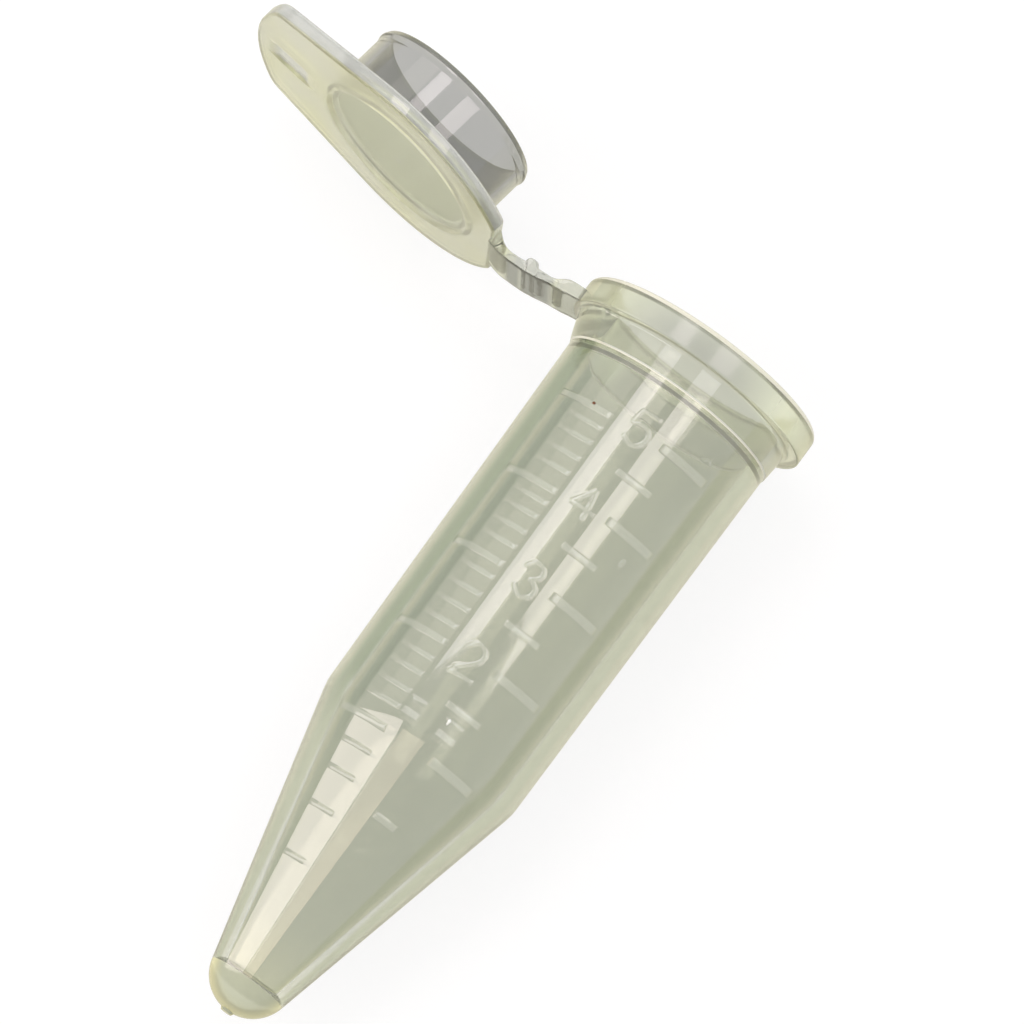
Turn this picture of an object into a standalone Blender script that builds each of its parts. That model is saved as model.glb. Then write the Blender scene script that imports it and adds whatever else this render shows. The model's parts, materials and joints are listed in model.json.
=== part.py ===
"""Five millilitre conical tube with a snap cap on a living hinge.

The tube lies on its side as it comes to rest with the lid swung open: the rim, the bend of the
cone and the edge of the lid touch the surface. World +X runs along the tube towards the mouth,
+Y towards the lid and +Z up. Everything is modelled about the tube's own axis first, with X
towards the hinge, Y up when the tube lies down, and Z from the tip to the mouth, and then laid
down by the empty named rest_pose.
"""

import math

import bmesh
import bpy
from mathutils import Matrix, Vector

MM = 0.001

# The tube: a drafted cylinder on a cone with a ball end, and a flat rim round the mouth.
TUBE_LENGTH = 59.0 * MM
CONE_HEIGHT = 23.5 * MM
BODY_RADIUS = 8.24 * MM
BODY_DRAFT = math.radians(0.68)
TIP_RADIUS = 3.175 * MM
GATE_RADIUS = 0.55 * MM
GATE_HEIGHT = 0.18 * MM
WALL = 1.5 * MM
FLOOR_THICKNESS = 2.5 * MM
FLOOR_RADIUS = 2.05 * MM
BEND_ROUND = 5.0 * MM
FLOOR_ROUND = 0.8 * MM
RIM_HEIGHT = 2.4 * MM
RIM_OVERHANG = 1.37 * MM
RIM_ROUND = 0.5 * MM
RIM_ROOT_ROUND = 0.3 * MM

# Under the rim the wall steps out into a collar, which swells further below the hinge.
COLLAR_HEIGHT = 2.35 * MM
COLLAR_STEP = 0.1 * MM
COLLAR_FLARE = 0.18 * MM
HINGE_PAD_SWELL = 0.85 * MM
HINGE_PAD_ANGLE = math.radians(45.0)
HINGE_PAD_DEPTH = 0.45 * MM

# The mouth's seat, which the lid's plug fills with a running clearance.
SEAT_WALL = 0.9 * MM
SEAT_CLEARANCE = 0.2 * MM
SEAT_END_CLEARANCE = 0.15 * MM
LEDGE_HEIGHT = 0.2 * MM
MOUTH_LEAD = 0.35 * MM

# The lid: a plate with a thumb tab, and a hollow plug with a sealing bead at its end.
LID_OVERLAP = 0.55 * MM
LID_THICKNESS = 1.24 * MM
LID_GAP = 0.3 * MM
LID_EDGE_ROUND = 0.25 * MM
LID_HINGE_FLAT = 0.95 * MM
TAB_REACH = 3.75 * MM
TAB_SIDE_ANGLE = math.radians(15.1)
TAB_END_RADIUS = 17.0 * MM
TAB_CORNER = 2.2 * MM
DENT_LENGTH = 3.5 * MM
DENT_WIDTH = 2.6 * MM
DENT_DEPTH = 0.35 * MM
DISH_DEPTH = 0.28 * MM
DISH_SLOPE = 0.5 * MM
PLUG_LENGTH = 5.1 * MM
PLUG_WALL = 0.8 * MM
PLUG_ROOT_ROUND = 0.3 * MM
BEAD_HEIGHT = 0.9 * MM
BEAD_SWELL = 0.15 * MM

# The hinge: the one axis that carries the lid from shut to the angle at which it lies open.
# The axis leans a little towards the mouth, which leaves the open lid with a slight twist.
HINGE_REACH = 3.33 * MM
HINGE_DROP = 0.77 * MM
OPEN_ANGLE = math.radians(171.4)
HINGE_LEAN = math.radians(1.9)

# The strap between rim and lid, with a thick root at the rim and a rib across its middle.
STRAP_WIDTH = 6.4 * MM
STRAP_THICKNESS = 0.5 * MM
STRAP_SAG = 0.95 * MM
STRAP_LIFT = 0.07 * MM
STRAP_GAP_TUBE = 0.25 * MM
STRAP_GAP_LID = 0.35 * MM
STRAP_LID_ROUND = 1.0 * MM
RIB_WIDTH = 0.8 * MM
RIB_HEIGHT = 0.4 * MM
ROOT_LENGTH = 1.9 * MM
ROOT_HEIGHT = 0.95 * MM

# How finely the round shapes are cut.
TURN_STEPS = 72
ARC_STEP = math.radians(15.0)
STRAP_STEPS = 8

# What follows from the sizes above.
RIM_BOTTOM = TUBE_LENGTH - RIM_HEIGHT
COLLAR_BOTTOM = RIM_BOTTOM - COLLAR_HEIGHT
LID_SEAT = TUBE_LENGTH + LID_GAP
HINGE_HEIGHT = TUBE_LENGTH - HINGE_DROP


def outer_radius(height):
    """Outer radius of the drafted body at a height above the bend."""
    return BODY_RADIUS + math.tan(BODY_DRAFT) * (height - CONE_HEIGHT)


RIM_RADIUS = outer_radius(RIM_BOTTOM) + RIM_OVERHANG
HINGE_X = RIM_RADIUS + HINGE_REACH
LEDGE_TOP = LID_SEAT - PLUG_LENGTH - SEAT_END_CLEARANCE
SEAT_RADIUS = outer_radius(LEDGE_TOP) - SEAT_WALL
BEAD_RADIUS = SEAT_RADIUS - SEAT_CLEARANCE
PLUG_RADIUS = BEAD_RADIUS - BEAD_SWELL
LID_RADIUS = RIM_RADIUS + LID_OVERLAP


def seat_mouth_radius():
    """Radius the seat needs at the hinge's height for the bead's far side to swing past."""
    drop = HINGE_HEIGHT - (LID_SEAT - PLUG_LENGTH + BEAD_HEIGHT / 2)
    swept = math.hypot(HINGE_X + BEAD_RADIUS, drop) - HINGE_X
    return max(swept, BEAD_RADIUS) + SEAT_CLEARANCE


def clear_scene():
    """Empties the file of objects and of the meshes they leave."""
    for item in list(bpy.data.objects):
        bpy.data.objects.remove(item, do_unlink=True)
    for mesh in list(bpy.data.meshes):
        bpy.data.meshes.remove(mesh)


def rounded(corners):
    """Turns (x, y, radius) corners of an open path into points, each corner an arc."""
    path = [Vector(corners[0][:2])]
    for before, here, after in zip(corners, corners[1:], corners[2:]):
        point = Vector(here[:2])
        back = Vector(before[:2]) - point
        ahead = Vector(after[:2]) - point
        turn = math.pi - back.angle(ahead)
        if here[2] <= 0 or turn < math.radians(0.5):
            path.append(point)
            continue
        room = 0.48 * min(back.length, ahead.length)
        reach = min(here[2] * math.tan(turn / 2), room)
        radius = reach / math.tan(turn / 2)
        inward = (back.normalized() + ahead.normalized()).normalized()
        middle = point + inward * math.hypot(radius, reach)
        start = point + back.normalized() * reach - middle
        end = point + ahead.normalized() * reach - middle
        sweep = start.angle_signed(end)
        count = max(2, math.ceil(abs(sweep) / ARC_STEP))
        for step in range(count + 1):
            path.append(middle + start @ Matrix.Rotation(sweep * step / count, 2))
    path.append(Vector(corners[-1][:2]))
    return path


def make_object(name, bm, parent, matrix=None, smooth_angle=32.0):
    """Stores a bmesh as a named object under its parent, shaded smooth."""
    bmesh.ops.recalc_face_normals(bm, faces=bm.faces[:])
    mesh = bpy.data.meshes.new(name)
    bm.to_mesh(mesh)
    bm.free()
    mesh.shade_smooth()
    mesh.set_sharp_from_angle(angle=math.radians(smooth_angle))
    item = bpy.data.objects.new(name, mesh)
    bpy.context.scene.collection.objects.link(item)
    item.parent = parent
    if matrix is not None:
        item.matrix_local = matrix
    return item


def turned(name, path, parent, matrix=None, steps=TURN_STEPS):
    """Spins a path of (radius, height) points, open on the axis or closed beside it."""
    bm = bmesh.new()
    verts = [bm.verts.new((point[0], 0.0, point[1])) for point in path]
    on_axis = path[0][0] < 1e-7 and path[-1][0] < 1e-7
    ends = verts[1:] if on_axis else verts[1:] + verts[:1]
    edges = [bm.edges.new(pair) for pair in zip(verts, ends)]
    bmesh.ops.spin(bm, geom=verts + edges, cent=(0, 0, 0), axis=(0, 0, 1), angle=math.tau,
                   steps=steps, use_merge=True)
    bmesh.ops.remove_doubles(bm, verts=bm.verts[:], dist=1e-7)
    return make_object(name, bm, parent, matrix)


def turned_part(name, path, half_angle, parent):
    """Spins a closed path of (radius, height) points to both sides of +X and closes its ends."""
    bm = bmesh.new()
    verts = [bm.verts.new((point[0], 0.0, point[1])) for point in path]
    bmesh.ops.rotate(bm, verts=verts, cent=(0, 0, 0), matrix=Matrix.Rotation(-half_angle, 3, "Z"))
    start = bm.faces.new(verts)
    steps = max(1, round(2 * half_angle / math.tau * TURN_STEPS))
    bmesh.ops.spin(bm, geom=[start, *start.edges, *verts], cent=(0, 0, 0), axis=(0, 0, 1),
                   angle=2 * half_angle, steps=steps)
    return make_object(name, bm, parent)


def extruded(name, outline, depth, parent, matrix=None):
    """Extrudes an outline of (x, y) points upwards by a depth."""
    bm = bmesh.new()
    face = bm.faces.new([bm.verts.new((point[0], point[1], 0.0)) for point in outline])
    grown = bmesh.ops.extrude_face_region(bm, geom=[face])
    top = [item for item in grown["geom"] if isinstance(item, bmesh.types.BMVert)]
    bmesh.ops.translate(bm, verts=top, vec=(0, 0, depth))
    return make_object(name, bm, parent, matrix)


def as_tool(item):
    """Marks an object as one that only shapes another."""
    item.hide_render = True
    item.display_type = "WIRE"
    return item


def combine(item, tool, operation):
    """Adds a live Boolean of a tool to an object."""
    step = item.modifiers.new(f"{operation.lower()} {tool.name}", "BOOLEAN")
    step.operation = operation
    step.solver = "EXACT"
    step.object = as_tool(tool)


def plastic(name, colour, roughness, transmission):
    """Natural polypropylene: pale, a little yellow, half clear."""
    material = bpy.data.materials.new(name)
    material.use_nodes = True
    shader = material.node_tree.nodes["Principled BSDF"]
    shader.inputs["Base Color"].default_value = (*colour, 1.0)
    shader.inputs["Roughness"].default_value = roughness
    shader.inputs["Metallic"].default_value = 0.0
    shader.inputs["IOR"].default_value = 1.49
    shader.inputs["Transmission Weight"].default_value = transmission
    return material


def tip_slope():
    """Half angle of the cone that leaves the ball end and meets the body at the bend."""
    rise = CONE_HEIGHT - TIP_RADIUS
    return math.atan2(BODY_RADIUS, rise) - math.asin(TIP_RADIUS / math.hypot(BODY_RADIUS, rise))


def tube_profile():
    """The tube's wall in section, from the tip's middle up the outside and down the bore."""
    slope = tip_slope()
    gate_rise = TIP_RADIUS - math.sqrt(TIP_RADIUS**2 - GATE_RADIUS**2)
    path = [Vector((0.0, -GATE_HEIGHT)), Vector((GATE_RADIUS * 0.8, -GATE_HEIGHT)),
            Vector((GATE_RADIUS, gate_rise))]
    first = math.asin(GATE_RADIUS / TIP_RADIUS)
    last = math.pi / 2 - slope
    count = math.ceil((last - first) / math.radians(11.0))
    for step in range(1, count + 1):
        angle = first + (last - first) * step / count
        path.append(Vector((TIP_RADIUS * math.sin(angle), TIP_RADIUS * (1 - math.cos(angle)))))
    bore_top = outer_radius(LEDGE_TOP) - WALL
    bore_low = BODY_RADIUS - WALL
    mouth = seat_mouth_radius()
    mouth_slope = (mouth - SEAT_RADIUS) / (HINGE_HEIGHT - LEDGE_TOP)
    mouth_top = mouth + mouth_slope * (HINGE_DROP - MOUTH_LEAD)
    outside = [
        (path[-1].x, path[-1].y, 0),
        (BODY_RADIUS, CONE_HEIGHT, BEND_ROUND),
        (outer_radius(COLLAR_BOTTOM), COLLAR_BOTTOM, 0),
        (outer_radius(COLLAR_BOTTOM) + COLLAR_STEP, COLLAR_BOTTOM + COLLAR_STEP, 0),
        (outer_radius(RIM_BOTTOM) + COLLAR_STEP + COLLAR_FLARE, RIM_BOTTOM, RIM_ROOT_ROUND),
        (RIM_RADIUS, RIM_BOTTOM, RIM_ROOT_ROUND / 2),
        (RIM_RADIUS, TUBE_LENGTH, RIM_ROUND),
        (mouth_top + MOUTH_LEAD, TUBE_LENGTH, 0),
        (mouth_top, TUBE_LENGTH - MOUTH_LEAD, 0),
        (SEAT_RADIUS, LEDGE_TOP, 0),
        (bore_top, LEDGE_TOP - LEDGE_HEIGHT, 0),
        (bore_low, CONE_HEIGHT, BEND_ROUND),
        (FLOOR_RADIUS, FLOOR_THICKNESS, FLOOR_ROUND),
        (0.0, FLOOR_THICKNESS, 0),
    ]
    return path[:-1] + rounded(outside)


def plug_profile():
    """The hollow plug in section, hanging from the plate, heights below the plate's underside."""
    inner = PLUG_RADIUS - PLUG_WALL
    into = LID_THICKNESS * 0.4
    bead = PLUG_LENGTH - BEAD_HEIGHT / 2
    corners = [
        (inner, -into, 0),
        (inner, 0.0, 0),
        (inner, PLUG_LENGTH - BEAD_HEIGHT, 0),
        (inner + PLUG_WALL * 0.35, PLUG_LENGTH, 0),
        (PLUG_RADIUS - PLUG_WALL * 0.1, PLUG_LENGTH, 0),
        (BEAD_RADIUS, bead, BEAD_HEIGHT),
        (PLUG_RADIUS, PLUG_LENGTH - BEAD_HEIGHT, 0),
        (PLUG_RADIUS, 0.0, PLUG_ROOT_ROUND),
        (PLUG_RADIUS + PLUG_ROOT_ROUND, 0.0, 0),
        (PLUG_RADIUS + PLUG_ROOT_ROUND, -into, 0),
    ]
    return rounded(corners)


def lid_outline():
    """The plate's outline, u towards the tab and v across, round the disc and the tab."""
    lean = TAB_SIDE_ANGLE
    leave = Vector((math.sin(lean), math.cos(lean))) * LID_RADIUS
    along = Vector((math.cos(lean), -math.sin(lean)))
    tip = LID_RADIUS + TAB_REACH
    middle = Vector((tip - TAB_END_RADIUS, 0.0))
    # Where the straight side meets the bowed end.
    offset = leave - middle
    half = offset.dot(along)
    run = -half + math.sqrt(half * half - offset.length_squared + TAB_END_RADIUS**2)
    corner = leave + along * run
    bow = math.atan2(corner.y, corner.x - middle.x)
    end = [middle + Vector((math.cos(bow * k), math.sin(bow * k))) * TAB_END_RADIUS
           for k in (0.66, 0.33, 0.0)]
    side = rounded([(*leave, 0), (*corner, TAB_CORNER), (*end[0], 0), (*end[1], 0), (*end[2], 0)])
    flat = LID_RADIUS - LID_HINGE_FLAT
    first = math.pi - math.acos(flat / LID_RADIUS)
    last = math.pi / 2 - lean
    count = math.ceil((first - last) / (math.tau / TURN_STEPS))
    arc = [Vector((math.cos(a), math.sin(a))) * LID_RADIUS
           for a in (first + (last - first) * k / count for k in range(count))]
    upper = arc + side
    lower = [Vector((point.x, -point.y)) for point in reversed(upper[:-1])]
    return upper + lower


def lid_turn(angle):
    """The lid's swing about its leaning axis, from shut."""
    axis = Vector((0.0, math.cos(HINGE_LEAN), math.sin(HINGE_LEAN)))
    return Matrix.Rotation(angle, 4, axis)


def opened(point):
    """Carries an (x, z) point of the shut lid, taken from the hinge, to its open place."""
    turn = Matrix.Rotation(-OPEN_ANGLE, 2)
    return turn @ Vector(point)


def shut(point):
    """Carries an (x, z) point of the open lid, taken from the hinge, back to where it shuts."""
    turn = Matrix.Rotation(OPEN_ANGLE, 2)
    return turn @ Vector(point)


def strap_line():
    """The strap's outer surface when open, (x, z) from the hinge: a shallow sag, rim to lid."""
    start = Vector((RIM_RADIUS - RIM_OVERHANG * 0.5 - HINGE_X, RIM_BOTTOM + STRAP_LIFT - HINGE_HEIGHT))
    inset = LID_RADIUS - LID_HINGE_FLAT - LID_EDGE_ROUND
    face = LID_SEAT + LID_THICKNESS - HINGE_HEIGHT - STRAP_LIFT
    end = opened((inset - HINGE_X, face))
    middle = start.lerp(end, 0.63)
    middle.y = min(start.y, end.y) - STRAP_SAG
    points = []
    for step in range(4 * STRAP_STEPS + 1):
        t = step / (4 * STRAP_STEPS)
        points.append(start.lerp(middle, t).lerp(middle.lerp(end, t), t))
    return points


def line_between(points, low, high):
    """The part of a line with x from low to high, cut cleanly at both."""
    def at(x):
        for one, two in zip(points, points[1:]):
            if one.x <= x <= two.x:
                return one.lerp(two, (x - one.x) / (two.x - one.x))
        return points[0] if x < points[0].x else points[-1]
    return [at(low + (high - low) * k / STRAP_STEPS) for k in range(STRAP_STEPS + 1)]


def prism(name, outline, parent, matrix=None):
    """An (x, z) outline drawn out across the strap's width."""
    stand = Matrix.Translation((0.0, STRAP_WIDTH / 2, 0.0)) @ Matrix.Rotation(math.pi / 2, 4, "X")
    place = stand if matrix is None else matrix @ stand
    return extruded(name, outline, STRAP_WIDTH, parent, place)


def strap_on_tube(root):
    """The strap's half at the rim, with its thick root, in the tube's axes."""
    line = strap_line()
    cut = line_between(line, line[0].x, -STRAP_GAP_TUBE)
    top = [point + Vector((0.0, STRAP_THICKNESS)) for point in reversed(cut)]
    wall = RIM_RADIUS - HINGE_X
    foot = wall + ROOT_LENGTH
    level = RIM_BOTTOM + STRAP_LIFT + ROOT_HEIGHT - HINGE_HEIGHT
    kept = [point for point in top if point.x > foot + STRAP_THICKNESS * 0.3]
    rise = level - kept[-1].y
    block = rounded([
        (*kept[-1], 0),
        (foot, kept[-1].y + rise * 0.12, rise * 0.3),
        (foot - rise * 0.8, level, rise * 0.5),
        (wall - RIM_OVERHANG * 0.5, level, 0),
    ])
    outline = cut + kept[:-1] + block
    place = Matrix.Translation((HINGE_X, 0.0, HINGE_HEIGHT))
    return prism("strap_root_body", outline, root, place)


def strap_on_lid(hinge):
    """The strap's half at the lid, with the rib, in the shut lid's axes about the hinge."""
    line = strap_line()
    last = line[-1].x
    cut = line_between(line, STRAP_GAP_LID, last)
    top = [point + Vector((0.0, STRAP_THICKNESS)) for point in cut]
    # The rib stands on the inner side at the end next to the fold.
    near = top[0]
    rib = rounded([
        (near.x, near.y, 0),
        (near.x, near.y + RIB_HEIGHT, RIB_WIDTH * 0.45),
        (near.x + RIB_WIDTH, near.y + RIB_HEIGHT * 0.97, RIB_WIDTH * 0.45),
        (near.x + RIB_WIDTH, near.y - STRAP_THICKNESS * 0.1, 0),
    ])
    beyond = [point for point in top if point.x > near.x + RIB_WIDTH * 1.15]
    # The plate's own edge, where the strap runs into it with a rounded inner corner.
    edge_x = LID_RADIUS - LID_HINGE_FLAT - HINGE_X
    under = opened((edge_x, LID_SEAT + LID_EDGE_ROUND * 1.2 - HINGE_HEIGHT))
    inside = opened((edge_x - LID_EDGE_ROUND * 2.5, LID_SEAT + LID_EDGE_ROUND * 1.2 - HINGE_HEIGHT))
    low_in = opened((edge_x - LID_EDGE_ROUND * 2.5,
                     LID_SEAT + LID_THICKNESS - STRAP_LIFT - HINGE_HEIGHT))
    clear = [point for point in beyond if point.x < under.x - STRAP_LID_ROUND * 0.9]
    foot = clear[-1]
    corner = rounded([
        (*foot, 0),
        (under.x, foot.y + (under.x - foot.x) * 0.12, STRAP_LID_ROUND),
        (*under, 0),
    ])
    outline = cut + [low_in, inside] + list(reversed(rib[:1] + rib[1:] + clear[:-1] + corner))
    turned_back = [shut(point) for point in outline]
    return prism("strap_lid_half", turned_back, hinge)


def hinge_pad(root):
    """The swelling of the collar that carries the strap's root, from the wall to the rim."""
    foot = outer_radius(COLLAR_BOTTOM)
    low = COLLAR_BOTTOM + COLLAR_STEP * 1.8
    top = RIM_BOTTOM + RIM_HEIGHT * 0.2
    path = [
        (foot - HINGE_PAD_DEPTH, low),
        (foot, low),
        (foot + COLLAR_STEP * 2.2, low + COLLAR_STEP * 1.5),
        (outer_radius(RIM_BOTTOM) + HINGE_PAD_SWELL, RIM_BOTTOM),
        (outer_radius(RIM_BOTTOM) + HINGE_PAD_SWELL, top),
        (outer_radius(RIM_BOTTOM) - HINGE_PAD_DEPTH, top),
    ]
    return turned_part("hinge_pad_body", path, HINGE_PAD_ANGLE, root)


def build_tube(root):
    """The tube in one body with its rim, its hinge pad and its half of the strap."""
    tube = turned("tube", tube_profile(), root)
    combine(tube, hinge_pad(root), "UNION")
    combine(tube, strap_on_tube(root), "UNION")
    tube.data.materials.append(plastic("natural_polypropylene_tube", (0.70, 0.73, 0.55), 0.28, 0.75))
    return tube


def build_lid(hinge):
    """The lid about its hinge, modelled shut and carried open by its parent."""
    centre = Vector((-HINGE_X, 0.0, LID_SEAT - HINGE_HEIGHT))
    # u runs from the hinge across to the tab, which is -X while the lid is shut.
    face_up = Matrix.Translation(centre) @ Matrix.Rotation(math.pi, 4, "Z")
    lid = extruded("lid", lid_outline(), LID_THICKNESS, hinge, face_up)
    edge = lid.modifiers.new("edge round", "BEVEL")
    edge.width = min(LID_EDGE_ROUND, LID_THICKNESS * 0.3)
    edge.segments = 2
    edge.limit_method = "ANGLE"
    edge.angle_limit = math.radians(60.0)
    hang = Matrix.Translation(centre) @ Matrix.Rotation(math.pi, 4, "X")
    plug = turned("plug_body", plug_profile(), hinge, hang)
    combine(lid, plug, "UNION")
    combine(lid, strap_on_lid(hinge), "UNION")
    over = LID_THICKNESS * 0.5
    dish_radius = PLUG_RADIUS - DISH_SLOPE / 2
    dish = turned("dish_cut", [
        Vector((0.0, LID_THICKNESS - DISH_DEPTH)),
        Vector((dish_radius - DISH_SLOPE, LID_THICKNESS - DISH_DEPTH)),
        Vector((dish_radius, LID_THICKNESS)),
        Vector((dish_radius, LID_THICKNESS + over)),
        Vector((0.0, LID_THICKNESS + over)),
    ], hinge, face_up)
    combine(lid, dish, "DIFFERENCE")
    dent_middle = LID_RADIUS + TAB_REACH * 0.5 - DENT_LENGTH * 0.5
    half_u = DENT_LENGTH / 2
    half_v = DENT_WIDTH / 2
    ring = rounded([(half_u, 0, 0), (half_u, half_v, half_v * 0.6), (-half_u, half_v, half_v * 0.6),
                    (-half_u, -half_v, half_v * 0.6), (half_u, -half_v, half_v * 0.6), (half_u, 0, 0)])
    sunk = face_up @ Matrix.Translation((dent_middle, 0.0, LID_THICKNESS - DENT_DEPTH))
    dent = extruded("dent_cut", ring[:-1], over + DENT_DEPTH, hinge, sunk)
    combine(lid, dent, "DIFFERENCE")
    lid.data.materials.append(plastic("natural_polypropylene_lid", (0.74, 0.76, 0.58), 0.3, 0.7))
    return lid


def rest_matrix():
    """Lays the tube down: the rim and the bend touch, and it rolls until the lid touches too."""
    tilt = math.atan2(RIM_RADIUS - BODY_RADIUS, RIM_BOTTOM - CONE_HEIGHT)
    depth = RIM_RADIUS * math.cos(tilt) - RIM_BOTTOM * math.sin(tilt)
    middle = Vector((-HINGE_X, LID_SEAT + LID_THICKNESS / 2 - HINGE_HEIGHT))
    place = opened(middle) + Vector((HINGE_X, HINGE_HEIGHT))
    lift = (LID_RADIUS - place.y * math.sin(tilt) - depth) / (place.x * math.cos(tilt))
    roll = math.asin(max(-0.5, min(0.5, lift)))
    up = Vector((math.cos(tilt) * math.sin(roll), math.cos(tilt) * math.cos(roll), math.sin(tilt)))
    along = (Vector((0.0, 0.0, 1.0)) - up * up.z).normalized()
    side = up.cross(along)
    return Matrix((along, side, up)).to_4x4()


def stand_on_ground(root, pieces):
    """Moves the whole so that the middle of its underside is the world's origin."""
    bpy.context.view_layer.update()
    graph = bpy.context.evaluated_depsgraph_get()
    points = []
    for piece in pieces:
        shape = piece.evaluated_get(graph)
        points += [shape.matrix_world @ vert.co for vert in shape.data.vertices]
    low = Vector([min(point[k] for point in points) for k in range(3)])
    high = Vector([max(point[k] for point in points) for k in range(3)])
    root.location = root.location - Vector(((low.x + high.x) / 2, (low.y + high.y) / 2, low.z))
    bpy.context.view_layer.update()


def main():
    """Builds the tube and its lid."""
    clear_scene()
    root = bpy.data.objects.new("rest_pose", None)
    hinge = bpy.data.objects.new("lid_hinge", None)
    for empty in (root, hinge):
        empty.empty_display_size = 5.0 * MM
        bpy.context.scene.collection.objects.link(empty)
    root.matrix_world = rest_matrix()
    hinge.parent = root
    hinge.matrix_local = Matrix.Translation((HINGE_X, 0.0, HINGE_HEIGHT)) @ lid_turn(OPEN_ANGLE)
    tube = build_tube(root)
    lid = build_lid(hinge)
    stand_on_ground(root, [tube, lid])


main()
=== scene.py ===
"""Conical sample tube with a snap cap on a strap hinge, lying open on its side.

Sizes are in millimetres in the tube's own axes: X towards the hinge, Y up when the tube lies down
and Z from the tip to the mouth. RestPose carries them into the shared frame in metres.
"""

import json
import logging
import math
from dataclasses import dataclass, field
from enum import Enum
from typing import Union

import bmesh
import bpy
import numpy as np
from mathutils import Matrix, Quaternion, Vector


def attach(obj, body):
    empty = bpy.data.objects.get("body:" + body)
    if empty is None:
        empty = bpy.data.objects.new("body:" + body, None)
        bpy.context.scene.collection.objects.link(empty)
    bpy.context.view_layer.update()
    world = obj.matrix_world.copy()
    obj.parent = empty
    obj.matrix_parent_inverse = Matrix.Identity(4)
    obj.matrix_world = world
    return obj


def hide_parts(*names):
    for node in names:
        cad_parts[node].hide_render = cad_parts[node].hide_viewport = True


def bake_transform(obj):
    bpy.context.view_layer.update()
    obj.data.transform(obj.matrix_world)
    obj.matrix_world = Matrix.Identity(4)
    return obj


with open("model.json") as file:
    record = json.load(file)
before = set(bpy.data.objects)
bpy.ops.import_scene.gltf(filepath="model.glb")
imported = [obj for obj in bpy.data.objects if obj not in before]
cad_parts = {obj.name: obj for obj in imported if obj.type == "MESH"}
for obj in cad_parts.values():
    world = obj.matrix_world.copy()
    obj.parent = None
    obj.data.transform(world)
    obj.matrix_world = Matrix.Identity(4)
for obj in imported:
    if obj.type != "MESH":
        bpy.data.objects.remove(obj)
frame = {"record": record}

MM = 0.001
LOG = logging.getLogger("conical_tube")

# Short names for the types that many functions take
Piece = bpy.types.Object
Tree = bpy.types.NodeTree
Node = bpy.types.Node
Socket = bpy.types.NodeSocket
Source = Union[Socket, float, tuple]


class Body(Enum):
    """The two bodies that the hinge joins."""

    TUBE = "tube"
    LID = "lid"


class Slot(Enum):
    """The material slots of the part's record."""

    TUBE = "natural_polypropylene_tube"
    LID = "natural_polypropylene_lid"


class Mask(Enum):
    """Vertex masks that the finishes read."""

    RAISED = "raised"
    # The warm mask carries the ball end's warm colour and the lid's warm face, and also painted highlights
    # and painted light.
    WARM_AND_LIT = "warm"
    FROST = "frost"
    # The shade mask is painted shade.
    SHADE = "shade"
    # The side mask marks painted light, where the painted edge tint turns lighter.
    SIDE = "side"


@dataclass(frozen=True)
class RestPose:
    """Where the tube lies and how the lid stands open, read from the part's mounts and hinge."""

    hinge_reach: float = 13.3329
    hinge_height: float = 58.23
    dish_floor: float = 0.96

    def mount(self, name: str) -> tuple:
        """The place and direction of one mount of the record."""
        found = next(m for m in frame["record"]["mounts"] if m["name"] == name)
        return Vector(found["pos_m"]), Vector(found["axis"]).normalized()

    def hinge(self) -> tuple:
        """The place and direction of the hinge."""
        joint = frame["record"]["behaviour"]["joints"][0]
        return Vector(joint["pos_m"]), Vector(joint["axis"]).normalized()

    def tube(self) -> Matrix:
        """Finds how the tube lies.

        Returns:
            The matrix that carries the tube's axes, in metres, into the shared frame.
        """
        axial = self.mount("mouth_rim")[1]
        place, axis = self.hinge()
        along = axis.cross(axial).normalized()
        origin = place - along * self.hinge_reach * MM - axial * self.hinge_height * MM
        turn = Matrix((along, axial.cross(along), axial)).transposed().to_4x4()
        return Matrix.Translation(origin) @ turn

    def lid(self) -> Matrix:
        """Finds how the lid stands open.

        Returns:
            The matrix that carries the lid's axes, X towards the tab and Z along the plug.
        """
        face, outward = self.mount("lid_face")
        plug = -outward
        origin = face + plug * self.dish_floor * MM
        along = origin - self.hinge()[0]
        along = (along - plug * along.dot(plug)).normalized()
        turn = Matrix((along, plug.cross(along), plug)).transposed().to_4x4()
        return Matrix.Translation(origin) @ turn

    def point(self, x: float, y: float, z: float) -> Vector:
        """A point of the tube's axes, in mm, in the shared frame."""
        return self.tube() @ Vector((x * MM, y * MM, z * MM))


REST = RestPose()


# Shapes


def eased(share: np.ndarray) -> np.ndarray:
    """Softens both ends of a rise from 0 to 1."""
    return share * share * (3 - 2 * share)


def ramp(value: np.ndarray, start: float, end: float) -> np.ndarray:
    """Rises from 0 at start to 1 at end, which may be the smaller of the two."""
    return np.clip((value - start) / (end - start), 0, 1)


def hump(value: np.ndarray, middle: float, width: float) -> np.ndarray:
    """A soft hump, 1 at its middle."""
    return np.exp(-((value - middle) / width) ** 2)


def apart(azimuth: np.ndarray, middle: float) -> np.ndarray:
    """The angle in degrees between each azimuth and a middle one."""
    return np.abs((azimuth - middle + 180.0) % 360.0 - 180.0)


def box_distance(x: np.ndarray, y: np.ndarray) -> np.ndarray:
    """Distance from a box whose sides each point is x and y past, negative inside."""
    return np.hypot(np.maximum(x, 0), np.maximum(y, 0)) + np.minimum(np.maximum(x, y), 0)


def spaced(values: list, least: float) -> list:
    """Sorts values and drops each one that follows too closely.

    Args:
        values: the values.
        least: the gap that a value must be past the one kept before it.

    Returns:
        The values that are left.
    """
    values = sorted(values)
    kept = values[:1]
    for value in values[1:]:
        if value - kept[-1] > least:
            kept.append(value)
    return kept


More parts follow.
